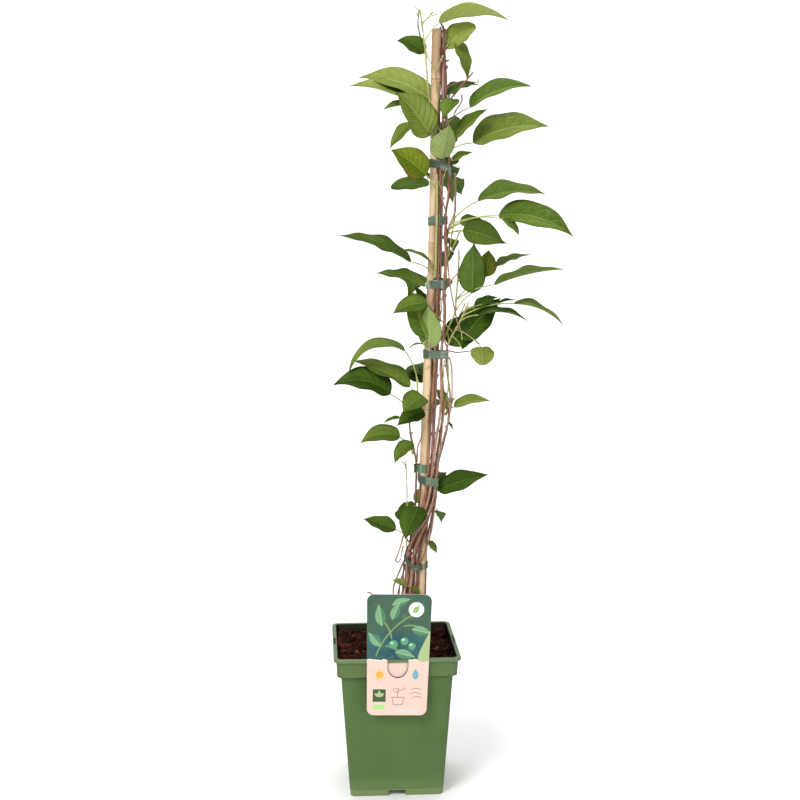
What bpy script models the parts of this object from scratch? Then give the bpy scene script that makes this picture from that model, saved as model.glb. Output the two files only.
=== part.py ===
"""A young hardy kiwi vine trained up a bamboo cane in a square nursery pot.

Sizes are in millimetres and degrees until a mesh is made, which turns them into metres.
The origin is the middle of the pot's underside, with +Z up and the labelled side facing -Y.
The plant stands in the pot turned a little from square. Round the cane a compass bearing
of 0 points right, 90 to the back, 180 left and 270 to the front.
"""

import random
from collections import namedtuple
from math import cos, exp, pi, radians, sin, sqrt, tan

import bmesh
import bpy
from mathutils import Matrix, Vector
from mathutils.bvhtree import BVHTree

MM = 0.001
GAP = 0.4                 # between solids that touch in the real thing
PLANT_TURN = -3.6         # the plant's right against the pot's right

# Pot: half widths of a square, and heights above the ground
RIM_HALF, RIM_TOP, RIM_BOTTOM = 75.0, 175.6, 171.1
COLLAR_TOP_HALF, COLLAR_FOOT_HALF, COLLAR_FOOT = 72.0, 71.0, 152.1
BODY_TOP_HALF, BODY_FOOT_HALF = 66.4, 56.4
BAND_TOP_HALF, BAND_FOOT_HALF, BAND_TOP = 56.0, 55.6, 7.0
WALL = 1.8
FLOOR_TOP, FLOOR_UNDER = 9.6, 7.2
CORNER = 8.5
NOTCH_TOP, NOTCH_FOOT, NOTCH_HEIGHT = 20.0, 22.4, 6.9
RIM_SLOT, RIM_SLOT_DEPTH, RIM_BAR = 27.0, 2.0, 1.2
DRAIN_HOLE, DRAIN_PLACE = 10.0, 34.0
CENTRE_FOOT = 14.0        # a boss that keeps the raised floor off the ground
LIP_BEVEL, LEDGE_RISE = 0.8, 0.2
PAST = 2.0                # how far a cutter runs past what it cuts
SOIL_TOP = 165.0

# Cane: a tapering bamboo, leaning right and slightly bowed
CANE_TOP, CANE_FOOT = 905.0, 12.0
CANE_RADIUS_FOOT, CANE_RADIUS_TOP = 6.4, 5.9
CANE_X_AT_SOIL, CANE_Y, CANE_LEAN, CANE_BOW = 31.4, 12.0, 0.0252, 2.8
CANE_NODES = (849.0, 659.0, 461.0, 286.0)
CANE_NODE_RIDGE, CANE_NODE_HALF = 0.4, 2.5
CANE_SIDES, CANE_HOLLOW, CANE_HOLLOW_DEPTH = 12, 3.0, 8.0

# The bundle of stems: at each height its bearing from the cane, the bearing of the stem
# that stays on the other side, the first layer's distance from the cane's middle, the
# step to the next layer, and how far the outer layers bow out before the next height
Course = namedtuple("Course", "height bearing side_bearing first step bow")
COURSE = (
    Course(SOIL_TOP, 200, 140, 17.0, 7.5, 2),
    Course(267, 207, 145, 10.6, 5.4, 2),
    Course(373, 318, 172, 10.0, 4.0, 0),
    Course(387, 328, 176, 10.2, 4.0, 10),
    Course(526, 352, 182, 9.6, 5.6, 4),
    Course(609, 350, 182, 9.3, 6.2, 3),
    Course(684, 346, 182, 9.1, 4.6, 3),
    Course(751, 350, 182, 9.1, 7.4, 2),
    Course(910, 340, 182, 9.1, 6.0, 0),
)
FIRST_LAYER = 9.1         # the distance that bearings within the bundle are given for
TIE_WIDTH, TIE_THICK, TIE_SIDES, TIE_SLACK = 11.0, 0.6, 24, 0.5
TIE_RUN = 2.0             # how far up and down a tilted tie strays
ASLANT = 1.09             # what a slanting stem's width gains in a level cut
# height of each tie, and its rise to the right, in mm for each mm
TIES = ((751, -0.16), (684, 0.05), (609, 0.0), (526, 0.0), (387, 0.04), (373, -0.1), (267, -0.1))
SIDE_TIE = 387            # the tie that holds only the side stem to the cane
MAIN_TIE = 373            # the tie just under it, which passes the side stem by

# Stems: layer counted out from the cane, bearing within the bundle, diameters, height of tip
Stem = namedtuple("Stem", "name layer bearing foot tip top")
STEMS = (
    Stem("stem_main", 1, 0, 5.0, 3.2, 866),
    Stem("stem_second", 2, 15, 4.0, 2.4, 790),
    Stem("stem_third", 2, -15, 3.8, 2.2, 660),
    Stem("stem_fourth", 3, 0, 3.4, 2.2, 533.5),
    Stem("stem_front", 1, -36, 3.4, 2.0, 785),
    Stem("stem_back", 1, 36, 3.4, 2.0, 775),
    Stem("stem_side", 1, 0, 3.4, 2.2, 444),
)
SIDE_STEM_REACH = 10.0    # how far its tip stands off past the tie
ROOT_FLARE, ROOT_FLARE_HEIGHT = 0.35, 9.0
STEM_STEP, STEM_FOOT_STEP = 26.0, 4.0

# Label: a card hung on the front of the rim by a tongue through the slot
LABEL_TOP, LABEL_FOOT = 254.0, 108.0
LABEL_TOP_WIDTH, LABEL_FOOT_WIDTH, LABEL_CORNER = 76.0, 70.0, 8.0
LABEL_THICK, LABEL_TILT = 0.8, 1.45
TONGUE_WIDTH, TONGUE_LENGTH, TONGUE_CUT = 24.0, 23.0, 0.7
TONGUE_ROUND = 1.15       # depth of its round end over half its width

PETIOLE_RADIUS, SHOOT_RADIUS, SHOOT_TIP_RADIUS = 1.0, 1.5, 1.1
SHOOT_STEP, SHOOT_CLEAR = 14.0, 1.4    # between a shoot's points, and off the bundle
SHOOT_LEAVES = 2.2        # how fast a shoot draws out from its foot on the bundle
STALK_ARC = 16.0          # how much a stalk's ends differ from its mean rise
STALK_ROOT = 0.8          # how far a stalk runs into its blade
LEAF_THICK = 1 / 75       # of its length
# share of the leaf's length, share of its half width
LEAF_OUTLINE = ((0.0, 0.12), (0.12, 0.74), (0.38, 1.0), (0.72, 0.6), (1.0, 0.05))
LEAF_FOLD = 14.0          # each half rises this much from the midrib

# A leaf grows at a height on its shoot. Its stalk has a bearing, a length and a rise, and
# its blade has a bearing, a length, a rise that droops towards the tip, and a roll that
# turns its face to the front. A stalk with a blade of 0 is a bare twig.
Leaf = namedtuple(
    "Leaf", "height bearing stalk rise face blade pitch droop roll width", defaults=(0, 0.54)
)
# A shoot starts on its host, a stem's tip or the outside of the bundle at a height and
# bearing, and passes ways of a height, a bearing and a distance it stands off the bundle
Mass = namedtuple("Mass", "name host ways leaves extra", defaults=(None,))
# Leaves that follow no plan: how many, and the lowest and highest bearing
Extra = namedtuple("Extra", "count low high")

MASSES = (
    Mass("foliage_tip", "stem_main", ((905, 345, 0.5),), (
        Leaf(874, 28, 9, 66, 12, 47, 61, 40, 60, 0.66),
        Leaf(882, 8, 16, 35, 5, 47, -59, 25, 45),
    )),
    Mass("foliage_tip_shoot", "stem_front", (
        (800, 262, 0.5), (826, 216, 1), (880, 208, 6), (926, 200, 13),
    ), (
        Leaf(889, 352, 28, 51, 352, 83, 28, 54, -18, 0.42),
        Leaf(873, 185, 4, 62, 182, 36, 51, 55, 70, 0.6),
        Leaf(908, 5, 16, 42, 10, 8, 30, 20),
        Leaf(922, 175, 4, 50, 170, 8, 50, 20),
    )),
    Mass("foliage_top_right", "stem_second", ((812, 4, 2), (830, 6, 5)), (
        Leaf(797, 350, 33, 34, 350, 77, 43, 50, 32),
        Leaf(812, -94, 18, 75, 25, 48, 39, 45, 20),
        Leaf(808, 323, 20, 57, 239, 34, -28, 30, 10, 0.66),
        Leaf(820, 0, 26, 50, 0, 0, 0, 0),
    )),
    Mass("foliage_upper_right", (761, 345), ((790, 345, 2),), (
        Leaf(764, 355, 34, 18, 353, 90, 32, 40, 42),
        Leaf(770, 335, 14, 45, 335, 51, 49, 20, 48),
        Leaf(763, 229, 12, -39, 289, 47, 59, 12, 0, 0.66),
        Leaf(762, 10, 12, -44, 12, 27, 38, 30, 30),
    )),
    Mass("foliage_top_left", (763, 266), ((792, 262, 1),), (
        Leaf(776, 237, 12, 34, 217, 68, 53, 20, 88, 0.66),
        Leaf(781, 190, 31, 30, 186, 39, -36, 25, 45, 0.46),
    )),
    Mass("foliage_top_back", "stem_back", ((800, 110, 1), (826, 140, 2)), (
        Leaf(818, 160, 8, 89, 172, 90, 39, 44, 40, 0.48),
        Leaf(810, 186, 10, 70, 186, 95, 30, 34, 32, 0.46),
        Leaf(804, 200, 27, 35, 200, 40, 4, 30, 20),
    ), Extra(3, 66, 112)),
    Mass("foliage_upper_left", (618, 290), ((650, 285, 1), (700, 285, 1.5), (738, 282, 2)), (
        Leaf(622, 192, 33, 26, 192, 91, 30, 20, 20),
        Leaf(632, 226, 9, 26, 200, 42, 40, 40, 15, 0.4),
        Leaf(620, 205, 18, -44, 190, 61, 25, 20, 25),
        Leaf(717, 205, 25, 54, 205, 53, 42, 20, 85, 0.66),
        Leaf(724, 190, 10, 16, 185, 45, 4, 20, -45),
    )),
    Mass("foliage_right_high", "stem_third", ((692, 0, 6), (740, 2, 3)), (
        Leaf(682, 355, 41, 38, 355, 80, 26, 40, 26),
        Leaf(676, 345, 62, 13, 345, 93, 10, 50, 42, 0.44),
        Leaf(680, 330, 70, 5, 330, 28, -27, 30, 20),
        Leaf(672, 20, 18, 28, 20, 36, 10, 25, 50, 0.6),
        Leaf(668, 350, 20, 15, 350, 52, -5, 26, 70, 0.6),
        Leaf(670, 15, 54, -7, 15, 25, -5, 30, 10),
        Leaf(739, 104, 4, -22, 92, 36, -58, 15, 50),
    )),
    Mass("foliage_right_middle", (545, 15), ((575, 12, 10), (610, 10, 12), (650, 8, 12)), (
        Leaf(574, 345, 33, 49, 275, 61, 85, 15),
        Leaf(590, 5, 47, 37, 81, 40, 61, 20, 20),
        Leaf(612, 20, 55, 19, 20, 47, 27, 20, 10),
        Leaf(590, 350, 50, 22, 350, 85, 24, 22, 8),
        Leaf(552, -51, 16, -78, 30, 58, 41, 10, 50, 0.66),
    )),
    Mass("foliage_right_low", "stem_fourth", ((560, 350, 12), (588, 352, 24)), (
        Leaf(556, 345, 38, -34, 274, 30, -30, 40, 0, 0.95),
        Leaf(548, 350, 20, -52, 20, 18, 51, 40, 20),
        Leaf(566, 345, 24, 18, 355, 61, 21, 56, 5),
        Leaf(572, 5, 64, 13, 0, 68, 1, 50, 5),
        Leaf(578, 15, 44, 11, 10, 22, 24, 30, 10),
        Leaf(582, 25, 13, -10, 15, 32, 46, 40, 30),
        Leaf(562, 22, 20, -76, 20, 70, 52, 15, 45, 0.56),
    )),
    Mass("foliage_front_middle", (534.5, 272), ((560, 275, 0.5), (588, 285, 1)), (
        Leaf(538, 213, 5, -89, 255, 54, 82, 10),
        Leaf(580, 215, 12, 41, 195, 44, 4, 40, 55),
        Leaf(549, 200, 7, -20, 176, 62, 74, 8, 70, 0.5),
        Leaf(546, 190, 12, -39, 185, 19, 12, 60),
    )),
    Mass("foliage_left_middle", "stem_side", ((494, 192, 4),), (
        Leaf(493, 180, 40, 68, 185, 86, 32, 110, 12, 0.42),
        Leaf(470, 170, 19, 59, 176, 77, 34, 20, 20),
        Leaf(452, 195, 39, 43, 190, 74, 45, 70, 40),
        Leaf(466, 306, 16, 40, 231, 42, -10, 25, 30, 0.7),
        Leaf(458, 321, 14, -1, 215, 42, -5, 30, 45),
        Leaf(448, 185, 12, 1, 190, 23, 1, 30, 10),
    )),
    Mass("foliage_left_low", (404, 185), ((418, 190, 2),), (
        Leaf(409, 190, 23, 48, 192, 51, 23, 60, 40),
        Leaf(414, 281, 9, 35, 215, 36, -9, 60, 30),
    )),
    Mass("foliage_right_lower", (452, 350), ((472, 0, 1),), (
        Leaf(457, 0, 10, 30, 355, 45, 30, 40, 24),
        Leaf(462, 250, 18, -81, 340, 12, -47, 20, 10),
    )),
    Mass("foliage_right_foot", (296, 300), ((330, 325, 0.5), (358, 350, 1)), (
        Leaf(299, 330, 3, -10, 330, 18, -45, 10, 30),
        Leaf(338, 340, 4, 0, 345, 11, -83, 10),
        Leaf(352, 350, 9, 71, 352, 64, 26, 14, 48, 0.46),
    )),
    Mass("foliage_left_foot", (278, 190), ((310, 190, 5), (345, 185, 8), (396, 182, 9)), (
        Leaf(303, 178, 16, 30, 172, 42, 24, 14, 40),
        Leaf(322, 290, 5, 12, 101, 36, 43, 30, 30, 0.8),
        Leaf(388, 150, 10, 50, 150, 0, 0, 0),
        Leaf(338, 333, 16, 10, 238, 46, -37, 20, 10, 0.72),
    )),
    Mass("foliage_foot", (230, 250), ((243, 245, 1),), (
        Leaf(235, 208, 20, 34, 198, 19, 35, 20, 40),
        Leaf(233, 285, 9, 13, 200, 17, 45, 20, 40),
        Leaf(232, 228, 46, 5, 228, 0, 0, 0),
    )),
    Mass("foliage_back_high", (692, 70), ((740, 90, 2),), (), Extra(4, 64, 108)),
    Mass("foliage_back_upper", (560, 75), ((600, 85, 1), (650, 90, 2)), (
        Leaf(590, 130, 16, -32, 150, 28, 68, 20, 0, 0.8),
    ), Extra(4, 64, 112)),
    Mass("foliage_back_middle", (435, 75), ((500, 90, 2),), (
        Leaf(480, 10, 14, 2, 50, 32, -54, 10),
    ), Extra(4, 64, 112)),
    Mass("foliage_back_low", (300, 100), ((352, 90, 2),), (), Extra(3, 62, 92)),
)
SEED = 7
# ranges of what an extra leaf has
EXTRA_STALK, EXTRA_RISE, EXTRA_BLADE = (12, 34), (15, 50), (44, 80)
EXTRA_PITCH, EXTRA_DROOP, EXTRA_ROLL = (0, 40), (25, 70), (-22, 22)
NUDGES = (0, 8, -8, 16, -16, 24, -24, 32, -32, 40, -40)

COLOURS = {               # linear colour, roughness
    "pot_plastic": ((0.125, 0.205, 0.072), 0.45),
    "bark_mulch": ((0.035, 0.012, 0.008), 0.9),
    "bamboo": ((0.66, 0.47, 0.28), 0.5),
    "vine_bark": ((0.20, 0.11, 0.07), 0.8),
    "tie_tape": ((0.09, 0.16, 0.11), 0.3),
    "label_card": ((0.75, 0.62, 0.55), 0.35),
    "leaf": ((0.10, 0.21, 0.035), 0.5),
}


# ---- shared shapes -------------------------------------------------------------------

def clear_scene():
    for item in list(bpy.data.objects):
        bpy.data.objects.remove(item)


def material(name):
    found = bpy.data.materials.get(name)
    if found:
        return found
    made = bpy.data.materials.new(name)
    made.use_nodes = True
    colour, roughness = COLOURS[name]
    shader = made.node_tree.nodes["Principled BSDF"]
    shader.inputs["Base Color"].default_value = (*colour, 1)
    shader.inputs["Roughness"].default_value = roughness
    shader.inputs["Metallic"].default_value = 0
    return made


def new_object(name, points, faces, finish):
    """An object of points in millimetres."""
    mesh = bpy.data.meshes.new(name)
    mesh.from_pydata([Vector(p) * MM for p in points], [], faces)
    made = bpy.data.objects.new(name, mesh)
    bpy.context.scene.collection.objects.link(made)
    mesh.materials.append(material(finish))
    return made


def plant_object(name, points, faces, finish, parent):
    made = new_object(name, points, faces, finish)
    made.parent = parent
    return made


def loft(rings):
    """The points and faces of a closed skin over rings of equal length, capped at both ends."""
    count = len(rings[0])
    points = [point for ring in rings for point in ring]
    faces = []
    for row in range(len(rings) - 1):
        for k in range(count):
            n = (k + 1) % count
            a, b = row * count, (row + 1) * count
            faces.append((a + k, a + n, b + n, b + k))
    faces.append(tuple(range(count - 1, -1, -1)))
    last = (len(rings) - 1) * count
    faces.append(tuple(range(last, last + count)))
    return points, faces


def tube(path, radii, sides):
    """A tube whose rings turn with its path as little as they can."""
    path = [Vector(p) for p in path]
    rings, across = [], None
    for k, point in enumerate(path):
        ahead = path[min(k + 1, len(path) - 1)] - path[max(k - 1, 0)]
        ahead.normalize()
        if across is None:
            across = Vector((1, 0, 0)) if abs(ahead.x) < 0.8 else Vector((0, 0, 1))
        across = (across - ahead * across.dot(ahead)).normalized()
        up = ahead.cross(across)
        rings.append([
            point + (across * cos(2 * pi * s / sides) + up * sin(2 * pi * s / sides)) * radii[k]
            for s in range(sides)
        ])
    return loft(rings)


def rounded_square(half, corner, height, steps=3):
    ring = []
    for quarter in range(4):
        start = quarter * pi / 2
        middle = Vector((half - corner, half - corner))
        middle.rotate(Matrix.Rotation(start, 2))
        for step in range(steps + 1):
            angle = start + step * pi / 2 / steps
            ring.append((middle.x + corner * cos(angle), middle.y + corner * sin(angle), height))
    return ring


def cut(target, cutters):
    combine(target, cutters, "DIFFERENCE")


def combine(target, others, operation):
    """One Boolean of the target with all the others, which is applied."""
    group = bpy.data.collections.new(target.name + "_group")
    bpy.context.scene.collection.children.link(group)
    for other in others:
        bpy.context.scene.collection.objects.unlink(other)
        group.objects.link(other)
    step = target.modifiers.new(operation.title(), "BOOLEAN")
    step.operand_type = "COLLECTION"
    step.collection = group
    step.operation = operation
    step.solver = "EXACT"
    bpy.context.view_layer.update()
    ready = target.evaluated_get(bpy.context.evaluated_depsgraph_get())
    mesh = bpy.data.meshes.new_from_object(ready)
    target.modifiers.clear()
    target.data = mesh
    for other in others:
        bpy.data.objects.remove(other)
    bpy.data.collections.remove(group)


def smoothly(share):
    share = min(max(share, 0.0), 1.0)
    return share * share * (3 - 2 * share)


def between(low, high, share):
    return low + (high - low) * share


# ---- pot and its filling -------------------------------------------------------------

def body_half(height):
    """Half the body's outer width at a height above the foot band."""
    return between(BODY_FOOT_HALF, BODY_TOP_HALF, (height - BAND_TOP) / (COLLAR_FOOT - BAND_TOP))


def pot_ring(half, height, inset=0.0):
    """A ring on the pot's outside, or inset from it into the wall or through it."""
    corner = CORNER - (RIM_HALF - half) * 0.1
    return rounded_square(half - inset, corner - inset, height)


def make_pot():
    ledge = COLLAR_FOOT + WALL
    profile = (
        (BAND_TOP_HALF, FLOOR_UNDER, WALL), (BAND_FOOT_HALF, 0.0, WALL),
        (BAND_FOOT_HALF, 0.0, 0), (BAND_TOP_HALF, BAND_TOP, 0),
        (BODY_FOOT_HALF, BAND_TOP + LEDGE_RISE, 0),
        (BODY_TOP_HALF, COLLAR_FOOT, 0), (COLLAR_FOOT_HALF, COLLAR_FOOT + LEDGE_RISE, 0),
        (COLLAR_TOP_HALF, RIM_BOTTOM, 0), (RIM_HALF, RIM_BOTTOM + LEDGE_RISE, 0),
        (RIM_HALF, RIM_TOP - LIP_BEVEL, 0), (RIM_HALF, RIM_TOP, LIP_BEVEL),
        (COLLAR_TOP_HALF, RIM_TOP, WALL),
        (COLLAR_FOOT_HALF, ledge, WALL), (BODY_TOP_HALF, ledge, WALL),
        (body_half(FLOOR_TOP), FLOOR_TOP, WALL),
    )
    rings = [pot_ring(half, z, inset) for half, z, inset in profile]
    pot = new_object("pot", *loft(rings), "pot_plastic")
    boss = [(0, 0, 0), (0, 0, (FLOOR_UNDER + FLOOR_TOP) / 2)]
    combine(pot, [new_object("foot", *tube(boss, (CENTRE_FOOT / 2,) * 2, 16), "pot_plastic")], "UNION")
    cutters = []
    notch = (
        (-NOTCH_FOOT / 2, -PAST), (NOTCH_FOOT / 2, -PAST),
        (NOTCH_TOP / 2, NOTCH_HEIGHT), (-NOTCH_TOP / 2, NOTCH_HEIGHT),
    )
    slot = (
        (-RIM_SLOT / 2, RIM_BOTTOM - PAST), (RIM_SLOT / 2, RIM_BOTTOM - PAST),
        (RIM_SLOT / 2, RIM_TOP + PAST), (-RIM_SLOT / 2, RIM_TOP + PAST),
    )
    bar = RIM_HALF - RIM_BAR
    for side in range(4):
        turn = Matrix.Rotation(side * pi / 2, 4, "Z")
        band = (BAND_FOOT_HALF + PAST, BAND_FOOT_HALF - WALL - PAST)
        cutters.append(wall_cutter("notch_cutter", notch, band, turn))
        cutters.append(wall_cutter("slot_cutter", slot, (bar, bar - RIM_SLOT_DEPTH), turn))
        place = turn @ Vector((DRAIN_PLACE, DRAIN_PLACE, 0))
        hole = [(place.x, place.y, FLOOR_UNDER - PAST), (place.x, place.y, FLOOR_TOP + PAST)]
        drain = tube(hole, (DRAIN_HOLE / 2,) * 2, 12)
        cutters.append(new_object("drain_cutter", *drain, "pot_plastic"))
    cut(pot, cutters)


def wall_cutter(name, outline, reach, turn):
    """A block on an outline of x and z, from one distance out to another, turned to a side."""
    rings = [[turn @ Vector((x, -y, z)) for x, z in outline] for y in reach]
    block = new_object(name, *loft(rings), "pot_plastic")
    face_out(block)
    return block


def face_out(item):
    mesh = bmesh.new()
    mesh.from_mesh(item.data)
    bmesh.ops.recalc_face_normals(mesh, faces=mesh.faces)
    mesh.to_mesh(item.data)
    mesh.free()


def make_soil():
    ledge = COLLAR_FOOT + WALL
    share = (SOIL_TOP - ledge) / (RIM_TOP - ledge)
    top_half = between(COLLAR_FOOT_HALF, COLLAR_TOP_HALF, share)
    profile = (
        (body_half(FLOOR_TOP), FLOOR_TOP + GAP), (BODY_TOP_HALF, ledge),
        (COLLAR_FOOT_HALF, ledge + GAP), (top_half, SOIL_TOP),
    )
    rings = [pot_ring(half, z, WALL + GAP) for half, z in profile]
    soil = new_object("potting_mix", *loft(rings), "bark_mulch")
    heights = [CANE_FOOT - GAP, SOIL_TOP + 5]
    path = [plant_matrix() @ Vector((*cane_axis(z), z)) for z in heights]
    hole = new_object("cane_cutter", *tube(path, (CANE_RADIUS_FOOT + GAP,) * 2, 14), "bark_mulch")
    cut(soil, [hole])


# ---- cane and stems ------------------------------------------------------------------

def plant_matrix():
    return Matrix.Rotation(radians(PLANT_TURN), 4, "Z")


def cane_axis(height):
    bend = sin(pi * min(max((height - 400) / (CANE_TOP - 400), 0), 1)) ** 2
    return (CANE_X_AT_SOIL + CANE_LEAN * (height - SOIL_TOP) + CANE_BOW * bend, CANE_Y)


def cane_radius(height):
    return between(CANE_RADIUS_FOOT, CANE_RADIUS_TOP, height / CANE_TOP)


def make_cane(parent):
    stations = [CANE_FOOT, 400, 520, 590, 720, 780, CANE_TOP]
    bumps = {}
    for node in CANE_NODES:
        bumps.update({node - CANE_NODE_HALF: 0.0, node: CANE_NODE_RIDGE, node + CANE_NODE_HALF: 0.0})
    heights = sorted(stations + list(bumps))
    path = [(*cane_axis(z), z) for z in heights]
    path += [path[-1], (*cane_axis(CANE_TOP), CANE_TOP - CANE_HOLLOW_DEPTH)]
    radii = [cane_radius(z) + bumps.get(z, 0.0) for z in heights] + [CANE_HOLLOW] * 2
    turns = [2 * pi * s / CANE_SIDES for s in range(CANE_SIDES)]
    rings = [
        [(x + radius * cos(turn), y + radius * sin(turn), z) for turn in turns]
        for (x, y, z), radius in zip(path, radii)
    ]
    plant_object("cane", *loft(rings), "bamboo", parent)


def course(height):
    """The bundle's values at a height, eased between the heights where it is held."""
    for low, high in zip(COURSE, COURSE[1:]):
        if height <= high.height:
            break
    share = (height - low.height) / (high.height - low.height)
    eased = smoothly(share)
    values = [between(a, b, eased) for a, b in zip(low, high)]
    bow = low.bow * sin(pi * min(max(share, 0), 1)) ** 2
    return Course(height, values[1], values[2], values[3], values[4], bow)


def stem_polar(stem, height):
    """How far a stem's middle is from the cane's, and its bearing."""
    now = course(height)
    if stem.name == "stem_side":
        past = smoothly((height - SIDE_TIE) / (stem.top - SIDE_TIE))
        return now.first + SIDE_STEM_REACH * past, now.side_bearing
    out = now.first + (stem.layer - 1) * (now.step + now.bow / 2)
    spread = FIRST_LAYER / now.first if stem.layer == 1 else 1
    return out, now.bearing + stem.bearing * spread


def stem_point(stem, height):
    out, bearing = stem_polar(stem, height)
    x, y = cane_axis(height)
    return Vector((x + out * cos(radians(bearing)), y + out * sin(radians(bearing)), height))


def stem_radius(stem, height):
    share = (height - SOIL_TOP) / (stem.top - SOIL_TOP)
    flare = 1 + ROOT_FLARE * exp(-(height - SOIL_TOP) / ROOT_FLARE_HEIGHT)
    return between(stem.foot, stem.tip, share) / 2 * flare


def make_stem(stem, parent):
    foot = SOIL_TOP + GAP
    start = foot + STEM_FOOT_STEP
    count = max(8, int((stem.top - foot) / STEM_STEP))
    heights = [foot] + [start + (stem.top - start) * k / count for k in range(count + 1)]
    path = [stem_point(stem, z) for z in heights]
    sides = 8 if stem.name == "stem_main" else 6
    points, faces = tube(path, [stem_radius(stem, z) for z in heights], sides)
    points[:sides] = [(p[0], p[1], foot) for p in points[:sides]]
    points[-sides:] = [(p[0], p[1], stem.top) for p in points[-sides:]]
    return plant_object(stem.name, points, faces, "vine_bark", parent)


# ---- ties ----------------------------------------------------------------------------

def bundle(height, grow=0.0):
    """The cane and the stems at a height: middles from the cane's middle, and radii."""
    found = [(Vector((0, 0)), cane_radius(height) + grow)]
    middle = Vector(cane_axis(height))
    for stem in STEMS:
        if stem.top >= height:
            place = stem_point(stem, height)
            found.append((place.xy - middle, stem_radius(stem, height) + grow))
    return found


def support(circles, bearing):
    """The furthest point of a set of circles along a bearing."""
    along = Vector((cos(bearing), sin(bearing)))
    middle, radius = max(circles, key=lambda c: c[0].dot(along) + c[1])
    return middle + along * radius


def tied(height):
    """What a tie goes round, over the whole of its width."""
    found = []
    for step in (-1, -0.5, 0, 0.5, 1):
        z = height + step * (TIE_WIDTH / 2 + TIE_RUN)
        shift = Vector(cane_axis(z)) - Vector(cane_axis(height))
        members = bundle(z)
        if height == SIDE_TIE:
            members = [members[0], members[-1]]
        elif height == MAIN_TIE:
            members = members[:-1]
        found.append((members[0][0] + shift, members[0][1]))
        found += [(middle + shift, radius * ASLANT) for middle, radius in members[1:]]
    return found


def make_tie(number, height, slope, parent):
    members = tied(height)
    x, y = cane_axis(height)
    rings = []
    inner, outer = TIE_SLACK, TIE_SLACK + TIE_THICK
    for grow, side in ((inner, -1), (outer, -1), (outer, 1), (inner, 1)):
        grown = [(middle, radius + grow) for middle, radius in members]
        ring = []
        for k in range(TIE_SIDES):
            edge = support(grown, 2 * pi * k / TIE_SIDES)
            ring.append((x + edge.x, y + edge.y, height + side * TIE_WIDTH / 2 + edge.x * slope))
        rings.append(ring)
    count = TIE_SIDES
    points = [p for ring in rings for p in ring]
    faces = []
    for row in range(4):
        a, b = row * count, (row + 1) % 4 * count
        faces += [(a + k, a + (k + 1) % count, b + (k + 1) % count, b + k) for k in range(count)]
    tie = plant_object(f"tie_{number}", points, faces, "tie_tape", parent)
    face_out(tie)
    return tie


# ---- label ---------------------------------------------------------------------------

def prism(name, outline, front, back):
    """A flat outline of x and z, with a front and a back."""
    rings = [[(x, y, z) for x, z in outline] for y in (front, back)]
    return new_object(name, *loft(rings), "label_card")


def rounded(corners, radius, steps=4):
    """An outline with its corners rounded by arcs."""
    outline = []
    for k, corner in enumerate(corners):
        here = Vector(corner)
        back = (Vector(corners[k - 1]) - here).normalized()
        ahead = (Vector(corners[(k + 1) % len(corners)]) - here).normalized()
        half = back.angle(ahead) / 2
        middle = here + (back + ahead).normalized() * radius / sin(half)
        start, end = here + back * radius / tan(half), here + ahead * radius / tan(half)
        a, b = start - middle, end - middle
        turn = a.angle_signed(b)
        for step in range(steps + 1):
            spoke = a.copy()
            spoke.rotate(Matrix.Rotation(-turn * step / steps, 2))
            outline.append(tuple(middle + spoke))
    return outline


def tongue_outline(width, top, foot):
    half, drop = width / 2, width / 2 * TONGUE_ROUND
    turns = [pi * k / 8 for k in range(9)]
    arc = [(-half * cos(turn), foot + drop - drop * sin(turn)) for turn in turns]
    return [(-half, top)] + arc + [(half, top)]


def make_label():
    front = -(RIM_HALF + GAP + LABEL_THICK)
    wide, narrow = LABEL_TOP_WIDTH / 2, LABEL_FOOT_WIDTH / 2
    corners = [(-wide, LABEL_TOP), (-narrow, LABEL_FOOT), (narrow, LABEL_FOOT), (wide, LABEL_TOP)]
    label = prism("label", rounded(corners, LABEL_CORNER), front, front + LABEL_THICK)
    hinge = RIM_TOP + GAP + 0.4
    window = tongue_outline(TONGUE_WIDTH + 2 * TONGUE_CUT, hinge, hinge - TONGUE_LENGTH - TONGUE_CUT)
    hole = prism("window_cutter", window, front - 2, front + LABEL_THICK + 2)
    behind = -(RIM_HALF - RIM_BAR - (RIM_SLOT_DEPTH + LABEL_THICK) / 2)
    tongue = prism(
        "tongue", tongue_outline(TONGUE_WIDTH, hinge + LABEL_THICK, hinge - TONGUE_LENGTH),
        behind - LABEL_THICK, behind,
    )
    half = TONGUE_WIDTH / 2
    fold = [(-half, hinge), (half, hinge), (half, hinge + LABEL_THICK), (-half, hinge + LABEL_THICK)]
    bridge = prism("tongue_fold", fold, front + LABEL_THICK / 2, behind - LABEL_THICK / 2)
    for piece in (label, hole, tongue, bridge):
        face_out(piece)
    cut(label, [hole])
    combine(label, [tongue, bridge], "UNION")
    middle = Vector((0, 0, RIM_TOP)) * MM
    tilt = Matrix.Rotation(radians(LABEL_TILT), 4, "Y")
    label.data.transform(Matrix.Translation(middle) @ tilt @ Matrix.Translation(-middle))


# ---- foliage -------------------------------------------------------------------------

def heading(bearing, rise):
    flat = cos(radians(rise))
    return Vector((flat * cos(radians(bearing)), flat * sin(radians(bearing)), sin(radians(rise))))


def touching(height, bearing, radius):
    """How far out along a bearing a shoot first stands clear of the bundle."""
    along = heading(bearing, 0).xy
    out = 0.0
    for middle, size in bundle(height):
        reach = size + radius + GAP + 0.1
        ahead = middle.dot(along)
        aside = (middle - along * ahead).length
        if aside < reach:
            out = max(out, ahead + sqrt(reach * reach - aside * aside))
    return out


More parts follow.
